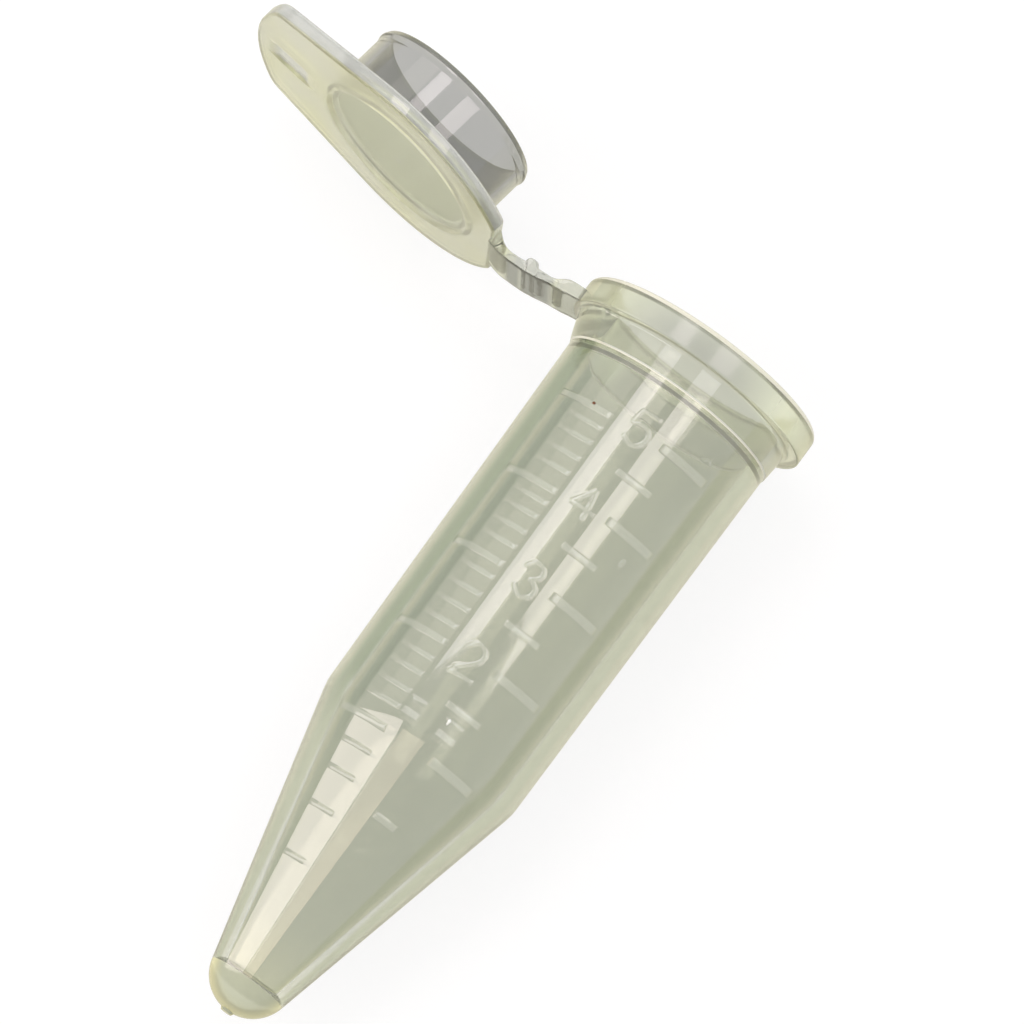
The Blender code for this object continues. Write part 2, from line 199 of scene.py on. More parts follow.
def rounded(corners: list, step: float) -> list:
    """Turns (x, y, radius) corners of an open path into points.

    Args:
        corners: the path's corners with the radius that each is rounded to.
        step: the angle in degrees between the points of an arc.

    Returns:
        The path as (x, y) tuples.
    """
    straight, longest = math.radians(0.5), 0.48
    path = [tuple(corners[0][:2])]
    for before, here, after in zip(corners, corners[1:], corners[2:]):
        point = Vector(here[:2])
        back, ahead = Vector(before[:2]) - point, Vector(after[:2]) - point
        turn = math.pi - back.angle(ahead)
        if here[2] <= 0 or turn < straight:
            path.append(tuple(point))
            continue
        reach = min(here[2] * math.tan(turn / 2), longest * min(back.length, ahead.length))
        radius = reach / math.tan(turn / 2)
        inward = (back.normalized() + ahead.normalized()).normalized()
        middle = point + inward * math.hypot(radius, reach)
        start = point + back.normalized() * reach - middle
        sweep = start.angle_signed(point + ahead.normalized() * reach - middle)
        count = max(2, math.ceil(abs(math.degrees(sweep)) / step))
        for k in range(count + 1):
            path.append(tuple(middle + start @ Matrix.Rotation(sweep * k / count, 2)))
    path.append(tuple(corners[-1][:2]))
    return path


def divided(path: list, longest: float) -> list:
    """Divides a path's long stretches.

    Args:
        path: (x, y) points.
        longest: the longest stretch that is left whole.

    Returns:
        The path with more points on its straight stretches.
    """
    fine = [path[0]]
    for one, two in zip(path, path[1:]):
        count = max(1, math.ceil(math.dist(one, two) / longest))
        fine += [tuple(one[i] + (two[i] - one[i]) * k / count for i in (0, 1)) for k in range(1, count + 1)]
    return fine


def added(name: str, data: bpy.types.ID) -> Piece:
    """Adds an object to the scene.

    Args:
        name: the object's name.
        data: its mesh, lamp or camera.

    Returns:
        The new object.
    """
    piece = bpy.data.objects.new(name, data)
    bpy.context.scene.collection.objects.link(piece)
    return piece


def skin(name: str, rings: np.ndarray, poles: tuple, matrix: Matrix, sharp: float = 40.0) -> Piece:
    """Closes a stack of rings into one solid skin.

    Args:
        name: the piece's name.
        rings: array of rings, points and coordinates, in mm.
        poles: the point that closes each end, or None to close it with a flat face.
        matrix: carries the points, in metres, into the shared frame.
        sharp: edges that fold by more than this many degrees stay crisp.

    Returns:
        The new object.
    """
    count, around = rings.shape[:2]
    points = [rings.reshape(-1, 3)]
    k = np.arange(count - 1)[:, None] * around
    j = np.arange(around)[None, :]
    n = (j + 1) % around
    faces = np.stack([k + j, k + n, k + n + around, k + j + around], -1).reshape(-1, 4).tolist()
    total = count * around
    for end, pole in enumerate(poles):
        base = (count - 1) * around if end else 0
        if pole is None:
            ring = [base + i for i in range(around)]
            faces.append(ring if end else ring[::-1])
            continue
        points.append(np.array([pole], float))
        for i in range(around):
            two = (i + 1) % around
            faces.append([base + i, base + two, total] if end else [base + two, base + i, total])
        total += 1
    mesh = bpy.data.meshes.new(name)
    mesh.from_pydata((np.concatenate(points) * MM).tolist(), [], faces)
    mesh.transform(matrix)
    form = bmesh.new()
    form.from_mesh(mesh)
    if form.calc_volume(signed=True) < 0:
        bmesh.ops.reverse_faces(form, faces=form.faces[:])
    form.to_mesh(mesh)
    form.free()
    mesh.shade_smooth()
    mesh.set_sharp_from_angle(angle=math.radians(sharp))
    return added(name, mesh)


def paint(piece: Piece, mask: Mask, values: np.ndarray) -> None:
    """Stores a mask on a piece's vertices.

    Args:
        piece: the piece.
        mask: the mask.
        values: its values from 0 to 1, with none for the points that close the skin's ends.
    """
    layer = piece.data.attributes.new(mask.value, "FLOAT", "POINT")
    full = np.zeros(len(piece.data.vertices), np.float32)
    flat = np.asarray(values, np.float32).ravel()
    full[: len(flat)] = flat
    layer.data.foreach_set("value", full)


def report(piece: Piece) -> None:
    """Logs one piece's name and size."""
    LOG.info("%s: %d faces", piece.name, len(piece.data.polygons))


# Finishes


def feed(tree: Tree, node: Node, values: dict) -> Node:
    """Gives a node its inputs.

    Args:
        tree: the node tree.
        node: the node.
        values: a socket to link, a number or a colour for each input's name or place.

    Returns:
        The node.
    """
    for label, value in values.items():
        socket = node.inputs[label]
        if isinstance(value, Socket):
            tree.links.new(value, socket)
        else:
            socket.default_value = (*value, 1) if socket.type == "RGBA" else value
    return node


def new_material(name: str) -> bpy.types.Material:
    """Starts a material with shader nodes."""
    material = bpy.data.materials.new(name)
    material.use_nodes = True
    return material


def new_group(name: str, inputs: dict, outputs: dict) -> tuple:
    """Starts a shader node group.

    Args:
        name: the group's name.
        inputs: the default colour or number of each input.
        outputs: the socket type of each output.

    Returns:
        The group, the sockets that it is given and its output node.
    """
    group = bpy.data.node_groups.new(name, "ShaderNodeTree")
    for label, default in inputs.items():
        colour = isinstance(default, tuple)
        kind = "NodeSocketColor" if colour else "NodeSocketFloat"
        socket = group.interface.new_socket(label, in_out="INPUT", socket_type=kind)
        socket.default_value = (*default, 1) if colour else default
    for label, kind in outputs.items():
        group.interface.new_socket(label, in_out="OUTPUT", socket_type=kind)
    return group, group.nodes.new("NodeGroupInput").outputs, group.nodes.new("NodeGroupOutput")


def placed(tree: Tree, name: str, values: dict) -> Node:
    """Places a shared group in a material.

    Args:
        tree: the material's node tree.
        name: the group's name.
        values: what each of its inputs is given.

    Returns:
        The group's node.
    """
    node = tree.nodes.new("ShaderNodeGroup")
    node.node_tree = bpy.data.node_groups[name]
    return feed(tree, node, values)


def math_node(tree: Tree, operation: str, one: Source, two: Source) -> Socket:
    """Adds a Math node.

    Args:
        tree: the node tree.
        operation: the sum that it does.
        one: a socket or a number.
        two: a socket or a number.

    Returns:
        The node's result.
    """
    node = tree.nodes.new("ShaderNodeMath")
    node.operation = operation
    return feed(tree, node, {0: one, 1: two}).outputs[0]


def mix_colour(tree: Tree, factor: Source, one: Source, two: Source) -> Socket:
    """Adds a colour Mix node.

    Args:
        tree: the node tree.
        factor: socket or number, 0 for the first colour.
        one: a colour or its socket.
        two: a colour or its socket.

    Returns:
        The mixed colour.
    """
    node = tree.nodes.new("ShaderNodeMix")
    node.data_type = "RGBA"
    return feed(tree, node, {0: factor, 6: one, 7: two}).outputs[2]


def mix_number(tree: Tree, factor: Source, one: Source, two: Source) -> Socket:
    """Adds a Mix node for numbers.

    Args:
        tree: the node tree.
        factor: socket or number, 0 for the first number.
        one: a number or its socket.
        two: a number or its socket.

    Returns:
        The mixed number.
    """
    node = tree.nodes.new("ShaderNodeMix")
    node.data_type = "FLOAT"
    return feed(tree, node, {0: factor, 2: one, 3: two}).outputs[0]


def noise(tree: Tree, scale: Source, stretch: tuple, detail: float) -> Socket:
    """Adds a noise that follows the piece's own axes.

    Args:
        tree: the node tree.
        scale: socket or number, waves to the metre.
        stretch: how much faster it changes along each axis.
        detail: levels of finer noise.

    Returns:
        The noise, about 0.5.
    """
    place = tree.nodes.new("ShaderNodeTexCoord").outputs["Object"]
    mapping = feed(tree, tree.nodes.new("ShaderNodeMapping"), {"Vector": place, "Scale": stretch})
    texture = tree.nodes.new("ShaderNodeTexNoise")
    feed(tree, texture, {"Vector": mapping.outputs[0], "Detail": detail, "Scale": scale})
    return texture.outputs["Fac"]


def cloud_group() -> None:
    """The plastic's colour: cloudy, warmer at the ball end, with painted highlights and painted light from
    the warm mask, painted shade from the shade mask on the rim and the lid's dish, and paler where raised.
    """
    group, given, made = new_group(
        "plastic clouds",
        {"Tint": (0.8, 0.8, 0.7), "Warm And Lit Tint": (0.8, 0.8, 0.6), "Raised Tint": (0.9, 0.9, 0.9), "Warm": 0.0,
         "Raised": 0.0, "Shade Tint": (0.7, 0.7, 0.7), "Shade": 0.0, "Cloud Scale": 90.0,
         "Cloud Strength": 0.2},
        {"Colour": "NodeSocketColor"},
    )
    soft = noise(group, given["Cloud Scale"], (0.45, 1.0, 1.0), 1.0)
    swing = math_node(group, "MULTIPLY", math_node(group, "SUBTRACT", soft, 0.5), given["Cloud Strength"])
    warm = math_node(group, "ADD", given["Warm"], swing)
    clamp = feed(group, group.nodes.new("ShaderNodeClamp"), {0: warm})
    colour = mix_colour(group, clamp.outputs[0], given["Tint"], given["Warm And Lit Tint"])
    colour = mix_colour(group, given["Shade"], colour, given["Shade Tint"])
    colour = mix_colour(group, given["Raised"], colour, given["Raised Tint"])
    feed(group, made, {"Colour": colour})


def skin_group() -> None:
    """The moulded surface: slow waves, worn patches and a frosted share."""
    group, given, made = new_group(
        "moulded skin",
        {"Polish": 0.05, "Frost Roughness": 0.35, "Frost": 0.0, "Wave Scale": 220.0,
         "Wave Height": 0.000004},
        {"Roughness": "NodeSocketFloat", "Height": "NodeSocketFloat"},
    )
    wave = noise(group, given["Wave Scale"], (0.5, 1.0, 1.0), 1.0)
    worn = math_node(group, "MULTIPLY", math_node(group, "SUBTRACT", wave, 0.4), 0.06)
    plain = math_node(group, "ADD", given["Polish"], worn)
    gap = math_node(group, "SUBTRACT", given["Frost Roughness"], plain)
    rough = math_node(group, "ADD", plain, math_node(group, "MULTIPLY", gap, given["Frost"]))
    clamp = feed(group, group.nodes.new("ShaderNodeClamp"), {0: rough, "Min": 0.015})
    height = math_node(group, "MULTIPLY", wave, given["Wave Height"])
    feed(group, made, {"Roughness": clamp.outputs[0], "Height": height})


def edge_group() -> None:
    """A painted tint where a wall is looked along, mostly painted shade, lighter where the side mask marks
    painted light, and a painted highlight line at its outline.
    """
    group, given, made = new_group(
        "painted edges",
        {"Colour": (0.8, 0.8, 0.7), "Facing": 0.0, "Side": 0.0, "Painted Edge Tint": (0.2, 0.2, 0.2),
         "Side Tint": (0.5, 0.5, 0.4), "Start": 0.4, "Full": 0.8, "Share": 1.0,
         "Outline Highlight Tint": (1, 1, 0.6), "Outline Share": 0.0},
        {"Colour": "NodeSocketColor"},
    )
    steep = group.nodes.new("ShaderNodeMapRange")
    steep.interpolation_type = "SMOOTHSTEP"
    feed(group, steep, {"Value": given["Facing"], "From Min": given["Start"], "From Max": given["Full"],
                        "To Max": given["Share"]})
    last = group.nodes.new("ShaderNodeMapRange")
    feed(group, last, {"Value": given["Facing"], "From Min": 0.6, "From Max": 0.85,
                       "To Max": given["Outline Share"]})
    edge = mix_colour(group, given["Side"], given["Painted Edge Tint"], given["Side Tint"])
    colour = mix_colour(group, steep.outputs["Result"], given["Colour"], edge)
    colour = mix_colour(group, last.outputs["Result"], colour, given["Outline Highlight Tint"])
    feed(group, made, {"Colour": colour})


@dataclass(frozen=True)
class ClearPlastic:
    """Natural polypropylene, clear enough to see into and a little milky."""

    name: str
    tint: tuple
    # The warm tint also colours the painted highlights and painted light that the warm mask marks.
    warm_and_lit_tint: tuple
    raised_tint: tuple
    transmission: float
    shade_tint: tuple = (0.70, 0.71, 0.66)
    # The edge, side and outline tints are painted: the edge tint is mostly painted shade where the wall is
    # looked along, the side tint painted light, and the outline tint a painted highlight.
    edge_tint: tuple = (0.19, 0.25, 0.14)
    side_tint: tuple = (0.40, 0.43, 0.31)
    edge_share: float = 0.0
    edge_start: float = 0.40
    edge_full: float = 0.47
    outline_highlight_tint: tuple = (0.97, 0.93, 0.60)
    outline_share: float = 0.0
    polish: float = 0.05
    frost_roughness: float = 0.35
    cloud_strength: float = 0.5
    cloud_scale: float = 90.0
    wave_height: float = 0.000002
    coat: float = 1.0
    coat_roughness: float = 0.02
    ior: float = 1.49

    def build(self) -> None:
        """Builds the material from the shared groups."""
        tree = new_material(self.name).node_tree
        masks = {}
        for mask in Mask:
            node = tree.nodes.new("ShaderNodeAttribute")
            node.attribute_name = mask.value
            masks[mask] = node.outputs["Fac"]
        clouds = placed(tree, "plastic clouds", {
            "Tint": self.tint, "Warm And Lit Tint": self.warm_and_lit_tint, "Raised Tint": self.raised_tint,
            "Shade Tint": self.shade_tint, "Cloud Strength": self.cloud_strength,
            "Cloud Scale": self.cloud_scale, "Warm": masks[Mask.WARM_AND_LIT], "Raised": masks[Mask.RAISED],
            "Shade": masks[Mask.SHADE]})
        colour = clouds.outputs["Colour"]
        if self.edge_share > 0:
            colour = self.with_painted_edges(tree, colour, masks[Mask.SIDE])
        surface = placed(tree, "moulded skin", {
            "Polish": self.polish, "Frost Roughness": self.frost_roughness, "Frost": masks[Mask.FROST],
            "Wave Height": self.wave_height})
        bump = tree.nodes.new("ShaderNodeBump")
        feed(tree, bump, {"Distance": 1.0, "Height": surface.outputs["Height"]})
        feed(tree, tree.nodes["Principled BSDF"], {
            "IOR": self.ior, "Metallic": 0.0, "Transmission Weight": self.transmission,
            "Coat Weight": self.coat, "Coat Roughness": self.coat_roughness, "Base Color": colour,
            "Roughness": surface.outputs["Roughness"], "Normal": bump.outputs[0]})

    def with_painted_edges(self, tree: Tree, colour: Socket, side: Socket) -> Socket:
        """Paints a tint where the wall is looked along, mostly painted shade, with a painted highlight line
        at its outline.

        Args:
            tree: the material's node tree.
            colour: the colour of the wall seen straight on.
            side: the mask of painted light that turns the painted edge tint to the lighter side tint.

        Returns:
            The colour with its painted edge tint and outline highlight.
        """
        facing = feed(tree, tree.nodes.new("ShaderNodeLayerWeight"), {"Blend": 0.5})
        depth = placed(tree, "painted edges", {
            "Start": self.edge_start, "Full": self.edge_full, "Share": self.edge_share,
            "Outline Share": self.outline_share, "Painted Edge Tint": self.edge_tint, "Side Tint": self.side_tint,
            "Outline Highlight Tint": self.outline_highlight_tint, "Colour": colour, "Facing": facing.outputs["Facing"],
            "Side": side})
        return depth.outputs["Colour"]


@dataclass(frozen=True)
class Fleck:
    """A speck of dirt or a chip: dull, with a mottled colour."""

    name: str
    dark: tuple
    light: tuple
    roughness: float = 0.6
    mottle: float = 9000.0

    def build(self) -> None:
        """Builds the speck's material."""
        tree = new_material(self.name).node_tree
        tones = tree.nodes.new("ShaderNodeValToRGB")
        ends = zip(tones.color_ramp.elements, (self.dark, self.light), (0.35, 0.65))
        for element, colour, position in ends:
            element.color = (*colour, 1)
            element.position = position
        feed(tree, tones, {0: noise(tree, self.mottle, (1.0, 1.0, 1.0), 2.0)})
        shader = tree.nodes["Principled BSDF"]
        feed(tree, shader, {"Roughness": self.roughness, "Base Color": tones.outputs[0]})


# The moulded scale


@dataclass(frozen=True)
class Bar:
    """One raised bar of the scale, from one azimuth to another at a height."""

    height: float
    start: float
    end: float
    width: float = 0.5
    upper: float = 1.0
    slope: float = 0.035
    share: float = 1.0
    fade: float = 1.0

    def strength(self, azimuth: np.ndarray) -> np.ndarray:
        """Share of the full relief, less towards the bar's start."""
        return self.share * np.interp(azimuth, [self.start, self.end], [self.fade, 1.0])

    def field(self, azimuth: np.ndarray, height: np.ndarray, radius: np.ndarray) -> np.ndarray:
        """Measures how far points are from the bar.

        Args:
            azimuth: degrees from the hinge.
            height: height of each point in mm.
            radius: the wall's radius at each point.

        Returns:
            The distance in mm from the bar's outline, negative inside.
        """
        middle, half = (self.start + self.end) / 2, (self.end - self.start) / 2
        across = (np.abs(azimuth - middle) - half) * np.pi / 180 * radius
        up = (np.abs(height - self.height) - self.width / 2) * np.where(height > self.height, self.upper, 1.0)
        return box_distance(across, up)


@dataclass(frozen=True)
class Stroke:
    """One raised line drawn through points given in mm about a middle on the wall."""

    height: float
    azimuth: float
    points: tuple
    width: float = 0.3
    slope: float = 0.08

    def strength(self, azimuth: np.ndarray) -> np.ndarray:
        """The full relief all along the line."""
        return np.ones_like(azimuth)

    def field(self, azimuth: np.ndarray, height: np.ndarray, radius: np.ndarray) -> np.ndarray:
        """Measures how far points are from the line.

        Args:
            azimuth: degrees from the hinge.
            height: height of each point in mm.
            radius: the wall's radius at each point.

        Returns:
            The distance in mm from the line's outline, negative inside.
        """
        x = (azimuth - self.azimuth) * np.pi / 180 * radius
        y = height - self.height
        nearest = np.full(np.broadcast(x, y).shape, np.inf)
        for (x0, y0), (x1, y1) in zip(self.points, self.points[1:]):
            dx, dy = x1 - x0, y1 - y0
            t = np.clip(((x - x0) * dx + (y - y0) * dy) / (dx * dx + dy * dy), 0, 1)
            nearest = np.minimum(nearest, np.hypot(x - x0 - t * dx, y - y0 - t * dy))
        return nearest - self.width / 2


def bent(points: list, steps: int = 6) -> tuple:
    """Draws a smooth line through points.

    Args:
        points: (x, y) points in mm.
        steps: how many pieces each stretch is cut into.

    Returns:
        The finer line.
    """
    grid = [points[0], *points, points[-1]]
    line = []
    for a, b, c, d in zip(grid, grid[1:], grid[2:], grid[3:]):
        for k in range(steps):
            t = k / steps
            line.append(tuple(
                0.5 * (2 * b[i] + (c[i] - a[i]) * t + (2 * a[i] - 5 * b[i] + 4 * c[i] - d[i]) * t * t
                       + (3 * b[i] - a[i] - 3 * c[i] + d[i]) * t**3) for i in (0, 1)))
    return (*line, tuple(points[-1]))


@dataclass
class MouldedScale:
    """The raised scale: fine bars, coarse bars and numbers, with the marks that use has left.

    Heights are in mm from the tip, and starts and ends are azimuths in degrees from the hinge. Rows
    and columns say where points stand closer: from, to and the step between them. Support is how
    many slopes a bar's outer row of points stands off its edge.
    """

    relief: float = 0.035
    long_start: float = 43.0
    long_fade: float = 0.6
    short_start: float = 56.0
    short_width: float = 0.36
    short_upper: float = 0.4
    short_fade: float = 0.4
    cone_top: float = 22.0
    cone_width: float = 0.4
    cone_slope: float = 0.022
    cone_share: float = 0.45
    fine_end: float = 76.3
    coarse_start: float = 106.0
    coarse_end: float = 135.0
    coarse_width: float = 0.65
    half_start: float = 95.0
    half_end: float = 115.0
    lowest_half: float = 16.7
    lowest_half_start: float = 99.0
    long_heights: tuple = (49.8, 43.0, 36.5, 29.5, 22.0)
    short_heights: tuple = (48.65, 47.35, 45.9, 44.6, 41.9, 40.7, 39.3, 38.0, 35.3, 33.75, 32.3, 30.85,
                            28.0, 26.65, 25.15, 23.8, 20.0, 17.85, 15.05, 11.2)
    coarse_heights: tuple = (50.05, 43.45, 36.65, 29.65, 21.95)
    half_heights: tuple = (46.75, 40.1, 33.1, 25.95)
    number_azimuth: float = 92.0
    number_heights: tuple = (50.2, 43.4, 36.6, 29.4)
    number_half: float = 1.6
    number_step: float = 0.09
    support: float = 2.2
    end_step: float = 0.32
    end_gap: float = 0.7
    number_columns: tuple = (84.8, 99.5, 0.45)
    trace_rows: tuple = ((41.4, 42.05, 0.1), (51.15, 52.05, 0.09))
    trace_columns: tuple = (121.5, 133.0, 0.8)

    def numbers(self) -> list:
        """Draws 5, 4, 3 and 2, from the mouth down.

        Returns:
            Their strokes.
        """
        five = [((0.72, 1.32), (-0.62, 1.25), (-0.78, 0.2)),
                bent([(-0.58, 0.18), (-0.1, 0.3), (0.5, 0.2), (0.84, -0.35), (0.62, -1.0), (0.05, -1.35),
                      (-0.7, -1.0)])]
        four = [((0.12, 1.25), (-0.9, -0.15), (-0.9, -0.3), (0.85, -0.3)),
                ((0.1, 1.25), (0.3, 0.3), (0.42, -1.0))]
        three = [bent([(-0.78, 0.9), (-0.25, 1.38), (0.42, 1.15), (0.55, 0.55), (0.05, 0.08)]),
                 bent([(0.05, 0.08), (0.68, -0.35), (0.68, -0.98), (0.0, -1.38), (-0.72, -0.9)])]
        two = [bent([(-0.7, 0.95), (-0.15, 1.36), (0.5, 1.1), (0.66, 0.45), (0.15, -0.25), (-0.72, -0.95)]),
               ((-0.72, -0.95), (-0.5, -1.32)), ((-0.8, -1.36), (0.82, -1.26))]
        made = []
        for height, lines in zip(self.number_heights, (five, four, three, two)):
            made += [Stroke(height, self.number_azimuth, tuple(line)) for line in lines]
        return made

    def bars(self) -> list:
        """Lays out the bars of the scale.

        Returns:
            Every bar.
        """
        end = self.fine_end
        made = [Bar(z, self.long_start, end, fade=self.long_fade) for z in self.long_heights]
        for z in self.short_heights:
            if z > self.cone_top:
                made.append(Bar(z, self.short_start, end, self.short_width, self.short_upper,
                                fade=self.short_fade))
            else:
                made.append(Bar(z, self.short_start, end, self.cone_width, slope=self.cone_slope,
                                share=self.cone_share))
        made += [Bar(z, self.coarse_start, self.coarse_end, self.coarse_width) for z in self.coarse_heights]
        made += [Bar(z, self.half_start, self.half_end) for z in self.half_heights]
        made.append(Bar(self.lowest_half, self.lowest_half_start, self.half_end))
        return made

    def traces(self) -> list:
        """Small marks that use and moulding have left on the wall."""
        return [Stroke(41.7, 124.0, ((0.0, -0.12), (0.05, 0.16)), 0.42),
                Stroke(51.4, 129.0, bent([(-0.35, -0.1), (0.0, 0.12), (0.3, -0.05)]), 0.12),
                Stroke(51.5, 129.5, ((0.12, 0.0), (0.2, 0.45)), 0.1)]

    def rows(self) -> list:
        """Finds where the wall needs a row of points.

        Returns:
            The heights of the bars' edges with a row on each side, and of the numbers and traces.
        """
        rows = []
        for bar in self.bars():
            steps = [bar.slope * d for d in (-1.0, 0.0, 1.0, self.support)]
            rows += [bar.height - bar.width / 2 - d for d in steps]
            rows += [bar.height + bar.width / 2 + d / bar.upper for d in steps]
        for height in self.number_heights:
            low, high = height - self.number_half, height + self.number_half + 0.01
            rows += [*np.arange(low, high, self.number_step)]
        for low, high, step in self.trace_rows:
            rows += [*np.arange(low, high, step)]
        return rows

    def columns(self) -> list:
        """Finds where the wall needs a line of points.

        Returns:
            The azimuths of the bars' ends with a line on each side, and of the numbers and traces.
        """
        ends = (self.long_start, self.short_start, self.fine_end, self.half_start, self.lowest_half_start,
                self.coarse_start, self.half_end, self.coarse_end)
        lines = [end + d for end in ends for d in (-self.end_step, 0.0, self.end_step)]
        lines += [self.long_start - self.end_gap, self.short_start - self.end_gap]
        lines.append(self.fine_end + self.end_gap)
        for low, high, step in (self.number_columns, self.trace_columns):
            lines += [*np.arange(low, high, step)]
        return lines

    def depth(self, azimuth: np.ndarray, height: np.ndarray, radius: np.ndarray) -> np.ndarray:
        """Finds how far the wall is raised.

        Args:
            azimuth: degrees from the hinge.
            height: height of each point in mm.
            radius: the wall's radius at each point.

        Returns:
            The share of the full relief at each point.
        """
        raised = np.zeros(np.broadcast(azimuth, height).shape)
        for shape in (*self.bars(), *self.numbers(), *self.traces()):
            t = np.clip((shape.slope - shape.field(azimuth, height, radius)) / (2 * shape.slope), 0, 1)
            raised = np.maximum(raised, eased(t) * shape.strength(azimuth))
        return raised


# The sub-assemblies


@dataclass
class Tube:
    """The tube: cone, body, rim, seat and bore in one skin, with its scale raised on the wall.

    Azimuths are in degrees from the hinge, and shown is the one that faces the camera. A pair of warm or
    painted-light fields says where that mask starts to rise and where it is full. The fields of painted light
    and painted highlight lines place light that is painted into the colour, and shaded is the band of painted
    shade on the collar and rim.
    """

    length: float = 59.0
    cone_height: float = 23.5
    body_radius: float = 8.24
    draft: float = 0.68
    tip_radius: float = 3.175
    gate_radius: float = 0.55
    gate_height: float = 0.18
    gate_shape: tuple = ((0.4, 1.0), (0.8, 0.9))
    tip_step: float = 4.0
    wall: float = 1.5
    floor: float = 2.5
    floor_radius: float = 2.05
    rim_bottom: float = 56.6
    rim_radius: float = 10.002
    collar_bottom: float = 54.25
    collar_step: float = 0.1
    collar_flare: float = 0.18
    pad_swell: float = 0.85
    pad_angle: float = 45.0
    pad_lip: tuple = (0.15, 0.22)
    pad_sides: tuple = (-5.0, -3.5, -2.0, 0.0, 1.5, 3.0)
    bend: float = 5.0
    seat_radius: float = 7.703
    seat_mouth: float = 8.008
    seat_top: float = 58.23
    ledge_top: float = 54.05
    ledge_height: float = 0.2
    scale_bottom: float = 7.0
    scale_top: float = 53.5
    column_step: float = 4.0
    column_least: float = 0.24
    row_least: float = 0.02
    row_clear: float = 0.4
    bend_reach: float = 1.5
    shown: float = 92.0
    tip_finish: float = 2.4
    warm_tip: tuple = (8.0, 1.0)
    lit_ends: tuple = (14.0, 48.0)
    lit_pad: float = 8.0
    lit_far: tuple = (75.0, 45.0)
    lit_cone: tuple = (25.0, 19.0)
    highlight_line: tuple = (54.2, 54.5)
    highlight_rim: float = 58.5
    highlight_half: float = 0.16
    highlight_top: float = 0.42
    shaded: tuple = (54.3, 58.55)
    scale: MouldedScale = field(default_factory=MouldedScale)

    def outer(self, height: float) -> float:
        """Outer radius of the drafted body at a height."""
        return self.body_radius + math.tan(math.radians(self.draft)) * (height - self.cone_height)

    def cone_slant(self) -> float:
        """The angle in radians between the cone's wall and the tube's axis."""
        across, rise = self.body_radius, self.cone_height - self.tip_radius
        return math.atan2(across, rise) - math.asin(self.tip_radius / math.hypot(across, rise))

    def wall_radius(self, height: float) -> float:
        """Measures the outer wall with a crisp bend.

        Args:
            height: a height between the ball end and the rim.

        Returns:
            The radius at that height.
        """
        if height >= self.cone_height:
            return self.outer(height)
        return self.body_radius - math.tan(self.cone_slant()) * (self.cone_height - height)

    def outside(self) -> list:
        """Draws the outer wall in section.

        Returns:
            (radius, height) points from the tip's middle to the root of the rim.
        """
        tip, gate = self.tip_radius, self.gate_radius
        path = [(gate * across, -self.gate_height * deep) for across, deep in self.gate_shape]
        path.append((gate, tip - math.sqrt(tip**2 - gate**2)))
        first, last = math.asin(gate / tip), math.pi / 2 - self.cone_slant()
        count = math.ceil(math.degrees(last - first) / self.tip_step)
        for k in range(1, count + 1):
            angle = first + (last - first) * k / count
            path.append((tip * math.sin(angle), tip * (1 - math.cos(angle))))
        low, step = self.collar_bottom, self.collar_step
        ring = [
            (*path[-1], 0),
            (self.body_radius, self.cone_height, self.bend),
            (self.outer(low), low, 0.05),
            (self.outer(low) + step, low + step, 0.05),
            (self.collar(self.rim_bottom), self.rim_bottom, 0.3),
            (self.rim_radius, self.rim_bottom, 0),
        ]
        return divided(path[:-1] + rounded(ring, 3.0)[:-1], 0.8)

    def collar(self, height: float) -> float:
        """Outer radius of the collar at a height."""
        rise = (height - self.collar_bottom) / (self.rim_bottom - self.collar_bottom)
        return self.outer(height) + self.collar_step + self.collar_flare * rise

    def swollen(self, azimuth: np.ndarray, height: np.ndarray, radius: np.ndarray) -> np.ndarray:
        """Radius of the outer wall where the collar swells below the hinge.

        Args:
            azimuth: degrees from the hinge.
            height: height of each point in mm.
            radius: radius of each point without the swelling.

        Returns:
            The radius with the swelling.
        """
        low = self.collar_bottom + self.collar_step * 1.8
        top = self.outer(self.rim_bottom) + self.pad_swell
        foot = self.outer(self.collar_bottom)
        rise, step = self.pad_lip
        pad = np.interp(height, [low, low + rise, self.rim_bottom], [foot, foot + step, top])
        bare = self.collar(height)
        share = 1 - np.clip((radius - bare) / (self.rim_radius - bare), 0, 1)
        first, *_, last = self.pad_sides
        near = eased(ramp(apart(azimuth, 0.0), self.pad_angle + last, self.pad_angle + first))
        on = (height > low) & (height < self.rim_bottom + 0.01)
        return radius + on * np.maximum(pad - bare, 0) * share * near

    def inside(self) -> list:
        """Draws the rim, the mouth and the bore in section.

        Returns:
            (radius, height) points from the rim's underside to the middle of the bore's floor.
        """
        lead = 0.35
        slope = (self.seat_mouth - self.seat_radius) / (self.seat_top - self.ledge_top)
        mouth = self.seat_mouth + slope * (self.length - self.seat_top - lead)
        corners = [
            (self.collar(self.rim_bottom) + 0.4, self.rim_bottom, 0),
            (self.rim_radius, self.rim_bottom, 0.15),
            (self.rim_radius, self.length, 0.5),
            (mouth + lead, self.length, 0.08),
            (mouth, self.length - lead, 0.08),
            (self.seat_radius, self.ledge_top, 0.06),
            (self.outer(self.ledge_top) - self.wall, self.ledge_top - self.ledge_height, 0.08),
            (self.body_radius - self.wall, self.cone_height, self.bend),
            (self.floor_radius, self.floor, 0.8),
            (0.25, self.floor, 0),
        ]
        return divided(rounded(corners, 6.0), 1.6)

    def azimuths(self) -> np.ndarray:
        """Finds the lines of points round the wall, closer where the scale stands and at the pad's sides.

        Returns:
            Their azimuths in degrees from the hinge.
        """
        pad = [side * (self.pad_angle + step) % 360 for side in (-1, 1) for step in self.pad_sides]
        even = np.arange(0.0, 360.0, self.column_step)
        return np.array(spaced([*even, *pad, *self.scale.columns()], self.column_least))

